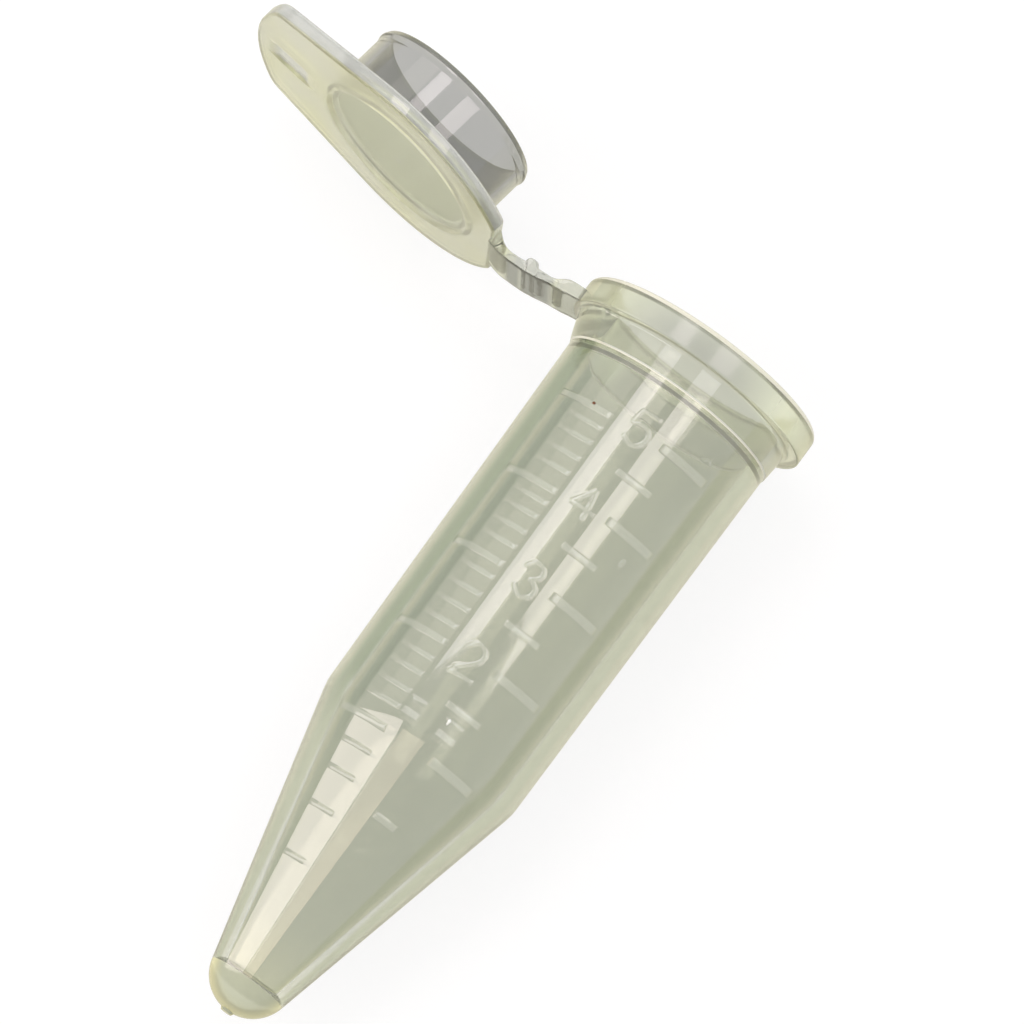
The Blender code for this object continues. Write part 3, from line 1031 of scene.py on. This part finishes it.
    def marked(self, wall: list) -> list:
        """Adds the scale's rows to the part of the wall that it stands on.

        Args:
            wall: the outer wall in section.

        Returns:
            (radius, height) points of that part.
        """
        low, high = self.scale_bottom, self.scale_top
        marks = np.array(self.scale.rows())
        bare = [z for _, z in wall if low < z < high and np.abs(marks - z).min() > self.row_clear]
        levels = spaced([z for z in marks if low < z < high] + bare, self.row_least)

        def bending(height: float) -> bool:
            """Whether a height is where the body bends into the cone."""
            return abs(height - self.cone_height) < self.bend_reach

        radii, heights = zip(*[point for point in wall if bending(point[1])])
        return [(np.interp(z, heights, radii) if bending(z) else self.wall_radius(z), z) for z in levels]

    def build(self) -> None:
        """Builds the tube in one skin, dresses it and puts it on its body."""
        wall = self.outside()
        lower = [point for point in wall if point[1] <= self.scale_bottom]
        marked = self.marked(wall)
        upper = [point for point in wall if point[1] >= self.scale_top and point[0] <= self.rim_radius]
        path = np.array(lower + marked + upper + self.inside(), float)
        azimuth = self.azimuths()[None, :]
        radius, height = path[:, :1] * np.ones_like(azimuth), path[:, 1:] * np.ones_like(azimuth)
        first, last = len(lower), len(lower) + len(marked)
        end = last + len(upper)
        raised = np.zeros_like(radius)
        raised[first:last] = self.scale.depth(azimuth, height[first:last], radius[first:last])
        radius[last:end] = self.swollen(azimuth, height[last:end], radius[last:end])
        grown = radius + raised * self.scale.relief
        turn = np.radians(azimuth)
        rings = np.stack([grown * np.cos(turn), grown * np.sin(turn), height], -1)
        poles = ((0.0, 0.0, -self.gate_height), (0.0, 0.0, self.floor))
        piece = skin("tube_body", rings, poles, REST.tube())
        self.dress(piece, azimuth, height, raised)
        self.finish(piece, raised, height)
        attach(piece, Body.TUBE.value)
        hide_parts("tube")
        report(piece)

    def dress(self, piece: Piece, azimuth: np.ndarray, height: np.ndarray, raised: np.ndarray) -> None:
        """Paints the masks: a warm ball end, painted highlight lines on the collar's bottom edge and the
        rim's top edge, painted light on the rim's ends, the pad and the far side, and painted shade on the
        collar and rim.

        Args:
            piece: the tube.
            azimuth: degrees from the hinge.
            height: the height of each point of its rings.
            raised: how far each point of its rings is raised.
        """
        warm = ramp(height, *self.warm_tip) * 0.5
        (low, high), (dark, pale) = self.highlight_line, self.shaded
        # Painted highlight lines along the collar's bottom edge and the rim's top edge.
        lines = (height > low) & (height < high) | (height > self.highlight_rim)
        # Painted light on the rim's ends away from the camera and on the collar's pad below the hinge.
        ends = ramp(apart(azimuth, self.shown), *self.lit_ends) * (height > self.rim_bottom - 0.1)
        pad = ramp(apart(azimuth, 0.0), self.pad_angle + self.lit_pad, self.pad_angle)
        light = np.maximum(ends, pad * (height > self.collar_bottom + 0.05))
        # Painted light on the far side and the cone, where the painted edge shade turns lighter.
        far = ramp(apart(azimuth, 180.0), *self.lit_far) + ramp(height, *self.lit_cone) * 0.8
        paint(piece, Mask.RAISED, raised)
        paint(piece, Mask.FROST, raised)
        paint(piece, Mask.WARM_AND_LIT, np.clip(warm + lines + light, 0, 1))
        paint(piece, Mask.SIDE, np.clip(far, 0, 1))
        # Painted shade on the collar and rim, lifted where painted light is.
        paint(piece, Mask.SHADE, ((height > dark) & (height < pale)) * (1 - 0.9 * light))

    def finish(self, piece: Piece, raised: np.ndarray, height: np.ndarray) -> None:
        """Gives the wall, the scale, the ball end, the collar and the rim their own finishes, and paints
        highlight lines with pale finishes on the collar's bottom edge, the rim's top edge and the ledge
        inside.

        Args:
            piece: the tube.
            raised: how far each point of its rings is raised.
            height: the height of each point of its rings.
        """
        names = ("tube plastic", "scale plastic", "tip plastic", "collar plastic", "line plastic",
                 "rim plastic", "ledge plastic")
        for name in names:
            piece.data.materials.append(bpy.data.materials[name])
        wall, scale, tip, collar, line, rim, ledge = range(len(names))
        pair = (raised[:-1] + raised[1:]) / 4
        level = (height[:-1] + height[1:]) / 2
        outside = np.arange(len(level))[:, None] < np.argmax(height[:, 0] > self.length - 0.02)
        # Line plastic and ledge plastic are pale finishes that paint highlight lines: outside on the collar's
        # bottom edge and the rim's top edge, inside on the ledge.
        half = self.highlight_half
        edges = np.abs(level - self.collar_bottom - half / 2) < half
        edges |= level > self.length - self.highlight_top
        shelf = np.abs(level - self.ledge_top + self.ledge_height / 2) < half
        kind = np.where(pair + np.roll(pair, -1, 1) > 0.5, scale, wall)
        for where, finish in ((level < self.tip_finish, tip), (level > self.collar_bottom, collar),
                              (outside & (level > self.rim_bottom), rim), (~outside & shelf, ledge),
                              (outside & edges, line)):
            kind = np.where(where, finish, kind)
        index = np.full(len(piece.data.polygons), wall, np.int32)
        index[: kind.size] = kind.ravel()
        index[kind.size: kind.size + height.shape[1]] = tip
        piece.data.polygons.foreach_set("material_index", index)

    def flecks(self) -> None:
        """Adds the dirt and the chip on the wall that the eye finds."""
        for name, azimuth, height, size, finish in (
            ("brown_speck", 65.0, 50.0, (0.16, 0.12, 0.05), "brown speck"),
            ("white_fleck", 101.0, 24.9, (0.11, 0.26, 0.05), "white fleck"),
        ):
            steps = np.linspace(0, 2 * np.pi, 20, endpoint=False)
            uneven = 1 + 0.22 * np.sin(3 * steps + azimuth) + 0.1 * np.sin(5 * steps + height)
            rings = []
            for lift in (0.3, 0.62, 0.9, 1.2, 1.57, 1.95, 2.4, 2.8):
                x = size[0] * np.cos(steps) * math.sin(lift) * uneven
                y = size[1] * np.sin(steps) * math.sin(lift)
                rings.append(np.stack([x, y, np.full_like(x, size[2] * math.cos(lift))], -1))
            place = Matrix.Rotation(math.radians(azimuth), 4, "Z") @ Matrix.Translation(
                (self.wall_radius(height) * MM, 0, height * MM))
            flat = Matrix.Rotation(math.pi / 2, 4, "Y") @ Matrix.Rotation(math.pi / 2, 4, "Z")
            poles = ((0, 0, size[2]), (0, 0, -size[2]))
            piece = skin(name, np.array(rings), poles, REST.tube() @ place @ flat, 80.0)
            piece.data.materials.append(bpy.data.materials[finish])
            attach(piece, Body.TUBE.value)
            report(piece)


@dataclass
class Lid:
    """The lid: plate with a thumb tab and a shallow dish, and a hollow plug with a bead.

    Dent is the thumb dent's length, width and depth. Spacing says how close the lines of points stand
    round half the lid: from, to and step, in degrees from the tab.
    """

    radius: float = 10.5525
    thickness: float = 1.24
    edge: float = 0.25
    hinge_flat: float = 0.95
    tab_reach: float = 3.75
    tab_lean: float = 15.1
    tab_end: float = 17.0
    tab_corner: float = 2.2
    dent: tuple = (3.5, 2.6, 0.22)
    dish_depth: float = 0.28
    dish_slope: float = 0.5
    floor_radii: tuple = (0.4, 2.0, 4.0, 5.6)
    plug_length: float = 5.1
    plug_radius: float = 7.353
    plug_wall: float = 0.8
    bead_radius: float = 7.503
    bead_height: float = 0.9
    spacing: tuple = ((0.0, 16.0, 0.6), (16.0, 62.0, 1.1), (62.0, 150.0, 2.2), (150.0, 161.0, 0.8),
                      (161.0, 180.0, 2.0))

    def outline(self) -> np.ndarray:
        """Draws the plate's outline about its middle, X towards the tab.

        Returns:
            The outline's points.
        """
        lean = math.radians(self.tab_lean)
        leave = Vector((math.sin(lean), math.cos(lean))) * self.radius
        run = Vector((math.cos(lean), -math.sin(lean)))
        middle = Vector((self.radius + self.tab_reach - self.tab_end, 0.0))
        offset = leave - middle
        half = offset.dot(run)
        corner = leave + run * (-half + math.sqrt(half * half - offset.length_squared + self.tab_end**2))
        bow = math.atan2(corner.y, corner.x - middle.x)
        end = [(middle.x + math.cos(bow * k) * self.tab_end, math.sin(bow * k) * self.tab_end, 0)
               for k in (0.8, 0.6, 0.4, 0.2, 0.0)]
        side = rounded([(*leave, 0), (*corner, self.tab_corner), *end], 4.0)
        flat = self.radius - self.hinge_flat
        first = math.pi - math.acos(flat / self.radius)
        last = math.pi / 2 - lean
        turns = np.linspace(first, last, 60)[:-1]
        arc = [(self.radius * math.cos(a), self.radius * math.sin(a)) for a in turns]
        upper = divided([(-flat, 0.0), *arc, *side], 0.3)
        return np.array(upper + [(x, -y) for x, y in reversed(upper[1:-1])])

    def angles(self) -> np.ndarray:
        """Finds the lines of points round the lid, closer across the tab and at the hinge's corners.

        Returns:
            Their directions in degrees from the tab.
        """
        half = sorted(angle for start, end, step in self.spacing for angle in np.arange(start, end, step))
        return np.array([*half, 180.0, *[-a for a in reversed(half[1:])]])

    def edges(self) -> tuple:
        """Finds where each line of points meets the plate's outline.

        Returns:
            The direction of each line, the outline's point on it and the outline's normal there.
        """
        shape = self.outline()
        bearing = np.degrees(np.arctan2(shape[:, 1], shape[:, 0]))
        order = np.argsort(bearing)
        angle = self.angles()
        reach = np.interp(angle, bearing[order], np.hypot(*shape[order].T), period=360.0)
        turn = np.radians(angle)
        unit = np.stack([np.cos(turn), np.sin(turn)], -1)
        edge = unit * reach[:, None]
        along = np.roll(edge, -1, 0) - np.roll(edge, 1, 0)
        normal = np.stack([along[:, 1], -along[:, 0]], -1)
        normal /= np.linalg.norm(normal, axis=1)[:, None]
        normal *= np.sign((normal * unit).sum(1))[:, None]
        return unit, edge, normal

    def plate(self, unit: np.ndarray, edge: np.ndarray, normal: np.ndarray) -> list:
        """Draws the plate, from the dish's floor over the face and round the edge to the plug's root.

        Args:
            unit: the direction of each line of points.
            edge: the outline's point on each line.
            normal: the outline's normal there.

        Returns:
            The (x, y) points and the depth of each ring.
        """
        face, bend = -self.thickness, self.edge
        dish = self.plug_radius - self.dish_slope / 2
        floor = (*self.floor_radii, dish - self.dish_slope - 0.12)
        made = [(unit * radius, face + self.dish_depth) for radius in floor]
        for t in (0.0, 0.15, 0.5, 0.85, 1.0):
            made.append((unit * (dish - self.dish_slope * (1 - t)), face + self.dish_depth * (1 - eased(t))))
        rim, brim = edge - normal * (bend + 0.03), unit * (dish + 0.1)
        for t in np.linspace(0.06, 1.0, 15):
            flat = brim + (rim - brim) * t
            made.append((flat, face + self.sunk(flat)))
        turns = [math.radians(22.5 * k) for k in range(5)]
        corner = [(bend * (1 - math.cos(a)), bend * (1 - math.sin(a))) for a in turns]
        made += [(edge - normal * inset, face + drop) for inset, drop in reversed(corner)]
        made += [(edge - normal * inset, -drop) for inset, drop in corner]
        root = unit * (self.plug_radius + 0.32)
        return made + [(rim + (root - rim) * t, 0.0) for t in np.linspace(0.0, 1.0, 5)]

    def plug(self) -> list:
        """Draws the plug in section: its side with the bead, its end and its hollow.

        Returns:
            (radius, depth) points from the plate to the hollow's middle.
        """
        inner = self.plug_radius - self.plug_wall
        corners = [
            (self.plug_radius + 0.3, 0.0, 0),
            (self.plug_radius, 0.0, 0.3),
            (self.plug_radius, self.plug_length - self.bead_height, 0.3),
            (self.bead_radius, self.plug_length - self.bead_height / 2, 0.35),
            (self.plug_radius - 0.08, self.plug_length, 0.12),
            (inner + 0.28, self.plug_length, 0.12),
            (inner, self.plug_length - self.bead_height, 0.6),
            (inner, 0.0, 0.35),
            (0.3, 0.0, 0),
        ]
        return divided(rounded(corners, 8.0), 1.2)[1:]

    def rings(self) -> tuple:
        """Stacks every ring of the lid's skin, from the dish over the plate to the plug's hollow.

        Returns:
            The rings as an array, and the number of the ring at which the plug starts.
        """
        unit, edge, normal = self.edges()
        plate = self.plate(unit, edge, normal)
        plug = [(unit * radius, depth) for radius, depth in self.plug()]
        made = [np.column_stack([flat, np.full(len(unit), depth)]) for flat, depth in plate + plug]
        return np.array(made), len(plate)

    def sunk(self, flat: np.ndarray) -> np.ndarray:
        """Finds how deep the thumb dent sinks below the plate's face.

        Args:
            flat: (x, y) of each point on the face.

        Returns:
            The depth in mm at each point.
        """
        length, width, depth = self.dent
        corner = 0.5
        middle = self.radius + (self.tab_reach - length) / 2
        x, y = np.abs(flat[:, 0] - middle) - length / 2, np.abs(flat[:, 1]) - width / 2
        return depth * eased(ramp(box_distance(x + corner, y + corner) - corner, 0.12, -0.28))

    def build(self) -> None:
        """Builds the lid in one skin, dresses it and puts it on its body."""
        rings, start = self.rings()
        poles = ((0.0, 0.0, -self.thickness + self.dish_depth), (0.0, 0.0, 0.0))
        piece = skin("lid_body", rings, poles, REST.lid())
        plate = np.zeros(rings.shape[:2])
        plate[:start] = 1.0
        self.dress(piece, rings, plate)
        for name in ("lid plastic", "plug plastic"):
            piece.data.materials.append(bpy.data.materials[name])
        around, lid, plug = rings.shape[1], 0, 1
        last = (len(rings) - 1) * around
        index = np.full(len(piece.data.polygons), plug, np.int32)
        index[: start * around] = lid
        index[last: last + around] = lid
        piece.data.polygons.foreach_set("material_index", index)
        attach(piece, Body.LID.value)
        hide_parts("lid")
        report(piece)

    def dress(self, piece: Piece, rings: np.ndarray, plate: np.ndarray) -> None:
        """Paints the masks: a warm face, painted shade that makes the dish darker and greener, a pale side
        band and pale ends on the plug.

        Args:
            piece: the lid.
            rings: its rings.
            plate: 1 on the plate's rings and 0 on the plug's.
        """
        level, spread = rings[:, :, 2], np.hypot(rings[:, :, 0], rings[:, :, 1])
        face = plate * (level < -self.thickness * 0.6)
        dish = ramp(spread, self.plug_radius - 0.5, self.plug_radius - 1.1)
        side = plate * (level > -self.thickness * 0.85) * (level < -0.15) * (spread > self.plug_radius + 1.0)
        end = np.clip(0.6 - np.abs(level - self.plug_length) / 0.16, 0, 1)
        inner = np.abs(spread - self.plug_radius + self.plug_wall + 0.1)
        corner = (np.abs(level) < 0.3) * np.clip(1 - inner / 0.3, 0, 1)
        paint(piece, Mask.RAISED, (1 - plate) * np.maximum(end, corner) + side)
        paint(piece, Mask.FROST, plate)
        paint(piece, Mask.WARM_AND_LIT, face * (0.8 - 0.5 * dish))
        # Painted shade: the sunken dish is darker and greener.
        paint(piece, Mask.SHADE, face * dish * 0.9)


@dataclass
class Strap:
    """The strap hinge: thick root at the rim, thin web with a rib, and a fillet at the plate.

    A station is a cut across the strap: where its under face and its upper face stand, as reach
    from the tube's axis and height. The other places along it are reaches too.
    """

    width: float = 6.35
    edge: float = 0.12
    rim_radius: float = 10.002
    curved_stations: int = 5
    root: float = 11.2
    root_lip: float = 11.6
    crease: float = 14.38
    foot: float = 15.7
    bend_start: float = 11.8
    bend_end: float = 16.2
    bend_height: float = 56.6
    stations: tuple = (
        (9.96, 56.66, 9.96, 57.60), (10.3, 56.62, 10.3, 57.60), (10.8, 56.54, 10.8, 57.58),
        (11.1, 56.47, 11.12, 57.52), (11.35, 56.44, 11.36, 57.36), (11.6, 56.41, 11.58, 57.14),
        (11.85, 56.39, 11.82, 56.98), (12.2, 56.36, 12.18, 56.88), (12.7, 56.28, 12.72, 56.86),
        (13.1, 56.21, 13.12, 56.85), (13.36, 56.17, 13.37, 56.86), (13.45, 56.16, 13.44, 57.06),
        (13.6, 56.14, 13.58, 57.2), (13.9, 56.11, 13.9, 57.25), (14.18, 56.09, 14.2, 57.2),
        (14.33, 56.08, 14.34, 57.04), (14.42, 56.08, 14.42, 56.78), (14.7, 56.08, 14.7, 56.74),
        (15.1, 56.08, 15.1, 56.72), (15.5, 56.09, 15.5, 56.72), (15.9, 56.1, 15.88, 56.75),
        (16.3, 56.13, 16.22, 56.85), (16.65, 56.2, 16.52, 57.02), (16.95, 56.27, 16.8, 57.26),
        (17.2, 56.35, 17.05, 57.5), (17.5, 56.46, 17.3, 57.66),
    )

    def section(self) -> list:
        """Draws the strap across its width, with round edges.

        Returns:
            (place across, depth from the face, side) of each point; the side is 1 on the upper face.
        """
        half, edge = self.width / 2, self.edge
        turns = [math.radians(22.5 * k) for k in range(5)]
        round_edge = [(half - edge + edge * math.sin(a), edge * (1 - math.cos(a)), 0) for a in turns[:4]]
        round_edge += [(half - edge + edge * math.cos(a), edge * (1 - math.sin(a)), 1) for a in turns]
        flat = [half * share for share in (0.75, 0.4, 0.0, -0.4, -0.75)]
        far = [(-w, depth, 1 - side) for w, depth, side in round_edge]
        return [*round_edge, *[(w, 0.0, 1) for w in flat], *far, *[(-w, 0.0, 0) for w in flat]]

    def build(self) -> None:
        """Builds the strap between tube and lid."""
        rings = []
        for number, (x0, z0, x1, z1) in enumerate(self.stations):
            hold = max(0.0, 1 - number / self.curved_stations)
            ring = []
            for w, depth, side in self.section():
                curve = math.sqrt(self.rim_radius**2 - w * w) - self.rim_radius
                x, z = (x1, z1 - depth) if side else (x0, z0 + depth)
                ring.append((x + curve * hold, w, z))
            rings.append(ring)
        piece = skin("hinge_strap", np.array(rings), (None, None), REST.tube(), 45.0)
        x = np.array(rings)[:, :, 0]
        # Painted highlights at the root, the root's lip and the foot, and a lighter side tint along the
        # crease as a painted highlight.
        painted_highlight = 0.3 * (x < self.root) + 0.9 * hump(x, self.root_lip, 0.25) + 0.9 * (x > self.foot)
        paint(piece, Mask.WARM_AND_LIT, np.clip(painted_highlight, 0, 1))
        paint(piece, Mask.SIDE, np.clip(painted_highlight + 0.5 * hump(x, self.crease, 0.08), 0, 1))
        piece.data.materials.append(bpy.data.materials["strap plastic"])
        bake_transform(piece)
        report(piece)


# The studio


@dataclass(frozen=True)
class Window:
    """One soft window: where it stands about the tube and how large and bright it is."""

    name: str
    azimuth: float
    elevation: float
    width: float
    height: float
    radiance: float
    roll: float = 0.0
    colour: tuple = (1.0, 1.0, 1.0)
    distance: float = 500.0

    def build(self, middle: tuple = (0.0, 0.0, 35.0)) -> None:
        """Hangs the lamp so that it faces the tube.

        Args:
            middle: the point it faces, in the tube's axes, in mm.
        """
        a, e = math.radians(self.azimuth), math.radians(self.elevation)
        away = Vector((math.cos(a) * math.cos(e), math.sin(a) * math.cos(e), math.sin(e)))
        data = bpy.data.lights.new(self.name, "AREA")
        data.shape = "RECTANGLE"
        data.size, data.size_y = (2 * self.distance * MM * math.tan(math.radians(angle) / 2)
                                  for angle in (self.width, self.height))
        data.energy = self.radiance * 4.0 * data.size * data.size_y
        data.color = self.colour
        lamp = added(self.name, data)
        side = Vector((0.0, 0.0, 1.0)).cross(away).normalized()
        turn = Matrix((side, away.cross(side), away)).transposed().to_4x4()
        roll = Matrix.Rotation(math.radians(self.roll), 4, "Z")
        place = Matrix.Translation((Vector(middle) + away * self.distance) * MM)
        lamp.matrix_world = REST.tube() @ place @ turn @ roll


@dataclass
class Studio:
    """Camera, windows, world and floor."""

    location: tuple = (-0.13723942, -0.09669833, 0.58677662)
    rotation: tuple = (0.8809259281, 0.1201643899, -0.0763560864, -0.4513311174)
    lens: float = 292.3684
    ambient: float = 0.75
    mirrored: float = 0.85
    backdrop: float = 1.0
    floor_grey: float = 0.8
    shadow_grey: float = 0.22
    floor_glow: float = 0.8
    mirrored_floor: float = 0.52
    floor_tone: tuple = (1.0, 0.97, 0.74)

    def camera(self) -> None:
        """Stands the camera where the photograph was taken from."""
        data = bpy.data.cameras.new("camera")
        data.lens, data.sensor_width = self.lens, 36.0
        data.clip_start, data.clip_end = 0.01, 20.0
        camera = added("camera", data)
        camera.rotation_mode = "QUATERNION"
        camera.location = self.location
        camera.rotation_quaternion = Quaternion(self.rotation)
        bpy.context.scene.camera = camera

    def looked(self, tree: Tree, path: Node) -> Socket:
        """1 for rays of the camera, also those that have gone through clear plastic."""
        return math_node(tree, "MAXIMUM", path.outputs["Is Camera Ray"], path.outputs["Is Transmission Ray"])

    def world(self) -> None:
        """A pale room: white where it is looked at, soft and even where it lights."""
        world = bpy.data.worlds.new("pale room")
        world.use_nodes = True
        tree = world.node_tree
        path = tree.nodes.new("ShaderNodeLightPath")
        lit = mix_number(tree, path.outputs["Is Glossy Ray"], self.ambient, self.mirrored)
        strength = mix_number(tree, self.looked(tree, path), lit, self.backdrop)
        feed(tree, tree.nodes["Background"], {"Color": (1, 1, 1), "Strength": strength})
        bpy.context.scene.world = world

    def floor(self) -> None:
        """A wide white floor that keeps the object's soft shadow."""
        mesh = bpy.data.meshes.new("floor")
        form = bmesh.new()
        bmesh.ops.create_grid(form, x_segments=4, y_segments=4, size=3.0)
        form.to_mesh(mesh)
        form.free()
        floor = added("floor", mesh)
        floor.location = (0, 0, -0.00005)
        mesh.materials.append(self.floor_finish())

    def floor_finish(self) -> bpy.types.Material:
        """Makes the floor white to the eye, and a little warm and darker in the gloss of the plastic.

        Returns:
            The floor's material.
        """
        material = new_material("white floor")
        material.cycles.emission_sampling = "NONE"
        tree = material.node_tree
        tree.nodes.remove(tree.nodes["Principled BSDF"])
        path = tree.nodes.new("ShaderNodeLightPath")
        glossy, through = path.outputs["Is Glossy Ray"], path.outputs["Is Transmission Ray"]
        looked = self.looked(tree, path)
        strength = math_node(tree, "MAXIMUM", math_node(tree, "MULTIPLY", looked, self.floor_glow),
                             math_node(tree, "MULTIPLY", glossy, self.mirrored_floor))
        tone = mix_colour(tree, math_node(tree, "SUBTRACT", glossy, through), (1, 1, 1), self.floor_tone)
        plain, shaded = (feed(tree, tree.nodes.new("ShaderNodeBsdfDiffuse"), {"Color": (grey,) * 3})
                         for grey in (self.floor_grey, self.shadow_grey))
        glow = feed(tree, tree.nodes.new("ShaderNodeEmission"), {"Color": tone, "Strength": strength})
        both = tree.nodes.new("ShaderNodeAddShader")
        feed(tree, both, {0: shaded.outputs[0], 1: glow.outputs[0]})
        mix = tree.nodes.new("ShaderNodeMixShader")
        seen = math_node(tree, "MAXIMUM", looked, glossy)
        feed(tree, mix, {0: seen, 1: plain.outputs[0], 2: both.outputs[0]})
        feed(tree, tree.nodes["Material Output"], {"Surface": mix.outputs[0]})
        return material

    def windows(self) -> None:
        """The windows whose bright bands run along the tube."""
        for window in (
            Window("window_a", 70.2, 19.0, 15.6, 22.0, 2.4, roll=3.0, colour=(1.0, 0.91, 0.94)),
            Window("window_b", 113.0, 19.5, 20.0, 22.0, 1.8, roll=-4.0, colour=(1.0, 0.90, 0.92)),
            Window("window_a_low", 69.5, 2.0, 17.0, 9.0, 1.2, colour=(1.0, 0.92, 0.98)),
            Window("window_b_low", 112.0, 2.0, 22.0, 9.0, 1.1, colour=(1.0, 0.92, 0.98)),
            Window("window_c", 40.0, -21.0, 52.0, 14.0, 2.8, colour=(1.0, 0.88, 0.84)),
            Window("window_d", 84.0, -22.0, 26.0, 10.0, 1.3, colour=(1.0, 0.80, 0.64)),
            Window("window_e", 44.0, 17.0, 26.0, 26.0, 0.4, colour=(1.0, 0.95, 0.86)),
        ):
            window.build()

    def build(self) -> None:
        """Sets the whole studio up."""
        self.camera()
        self.world()
        self.floor()
        self.windows()
        bpy.context.scene.view_settings.view_transform = "Standard"


def finishes() -> None:
    """Builds every finish."""
    cloud_group()
    skin_group()
    edge_group()
    for finish in (
        # The tube's dark green edge tint is painted shade along the walls where they are looked along,
        # lighter on the side that the side mask marks, with a painted highlight at the outline.
        ClearPlastic("tube plastic", (0.66, 0.675, 0.585), (0.82, 0.81, 0.64), (0.74, 0.75, 0.67), 0.95,
                     side_tint=(0.53, 0.56, 0.37), edge_share=1.0, outline_share=0.9),
        ClearPlastic("scale plastic", (0.77, 0.78, 0.70), (0.79, 0.79, 0.68), (0.83, 0.84, 0.76), 0.88,
                     edge_share=0.7, polish=0.2, frost_roughness=0.26),
        # The ball end's pale yellow edge tint is a painted highlight along its outline.
        ClearPlastic("tip plastic", (0.54, 0.57, 0.43), (0.58, 0.60, 0.43), (0.9, 0.9, 0.9), 0.35,
                     edge_tint=(0.90, 0.86, 0.46), side_tint=(0.90, 0.86, 0.46), edge_share=1.0,
                     edge_start=0.25, edge_full=0.75, polish=0.15, coat=0.5),
        # The collar's and rim's shade tints are painted shade, and their warm tints painted light.
        ClearPlastic("collar plastic", (0.66, 0.67, 0.57), (0.86, 0.90, 0.72), (0.9, 0.9, 0.9), 0.82,
                     shade_tint=(0.60, 0.615, 0.51), edge_tint=(0.62, 0.63, 0.44),
                     side_tint=(0.8, 0.78, 0.52), edge_share=0.8, edge_start=0.45, edge_full=0.85,
                     outline_share=0.8),
        ClearPlastic("rim plastic", (0.68, 0.70, 0.56), (0.93, 0.95, 0.71), (0.9, 0.9, 0.9), 0.7,
                     shade_tint=(0.46, 0.475, 0.41), edge_tint=(0.66, 0.66, 0.45),
                     side_tint=(0.8, 0.78, 0.52), edge_share=0.8, edge_start=0.5, edge_full=0.9,
                     outline_share=0.8, polish=0.16, coat=0.3, coat_roughness=0.12),
        # Ledge plastic and line plastic are pale finishes that paint highlight lines.
        ClearPlastic("ledge plastic", (0.97, 0.97, 0.90), (0.97, 0.97, 0.90), (0.97, 0.97, 0.90), 0.5,
                     shade_tint=(0.97, 0.97, 0.90), polish=0.6, coat=0.0),
        ClearPlastic("line plastic", (0.95, 0.93, 0.80), (0.97, 0.95, 0.80), (0.9, 0.9, 0.9), 0.25,
                     polish=0.1),
        ClearPlastic("lid plastic", (0.80, 0.80, 0.80), (0.88, 0.875, 0.46), (0.85, 0.87, 0.86), 0.84,
                     shade_tint=(0.74, 0.81, 0.47), polish=0.1, frost_roughness=0.22, cloud_strength=1.4,
                     cloud_scale=150.0),
        # The plug's dark edge tint is painted shade along its walls, with a painted highlight at the outline.
        ClearPlastic("plug plastic", (0.45, 0.45, 0.43), (0.74, 0.75, 0.66), (0.86, 0.90, 0.50), 0.96,
                     edge_tint=(0.30, 0.30, 0.26), side_tint=(0.30, 0.30, 0.26), edge_share=0.9,
                     edge_start=0.3, edge_full=0.8, outline_share=0.95, polish=0.02, coat=0.5),
        # The strap's near-black edge tint is a painted dark reflection on its face where it is looked along,
        # and its side tint paints the highlights.
        ClearPlastic("strap plastic", (0.66, 0.67, 0.60), (0.80, 0.81, 0.60), (0.9, 0.9, 0.9), 0.95,
                     edge_tint=(0.10, 0.105, 0.095), side_tint=(0.72, 0.73, 0.56), edge_share=0.97,
                     edge_start=0.5, edge_full=0.72, polish=0.03, coat=0.0),
        Fleck("brown speck", (0.08, 0.02, 0.005), (0.25, 0.09, 0.02)),
        Fleck("white fleck", (0.8, 0.8, 0.72), (0.95, 0.95, 0.92), 0.3),
    ):
        finish.build()


def plain(box: tuple) -> list:
    """A box as plain lists of numbers."""
    return [[float(v) for v in corner] for corner in box]


def main() -> None:
    """Builds the studio and the pieces."""
    logging.basicConfig(level=logging.INFO, format="%(message)s")
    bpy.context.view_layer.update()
    Studio().build()
    finishes()
    tube = Tube()
    tube.build()
    tube.flecks()
    Lid().build()
    Strap().build()


if __name__ == "__main__":
    main()
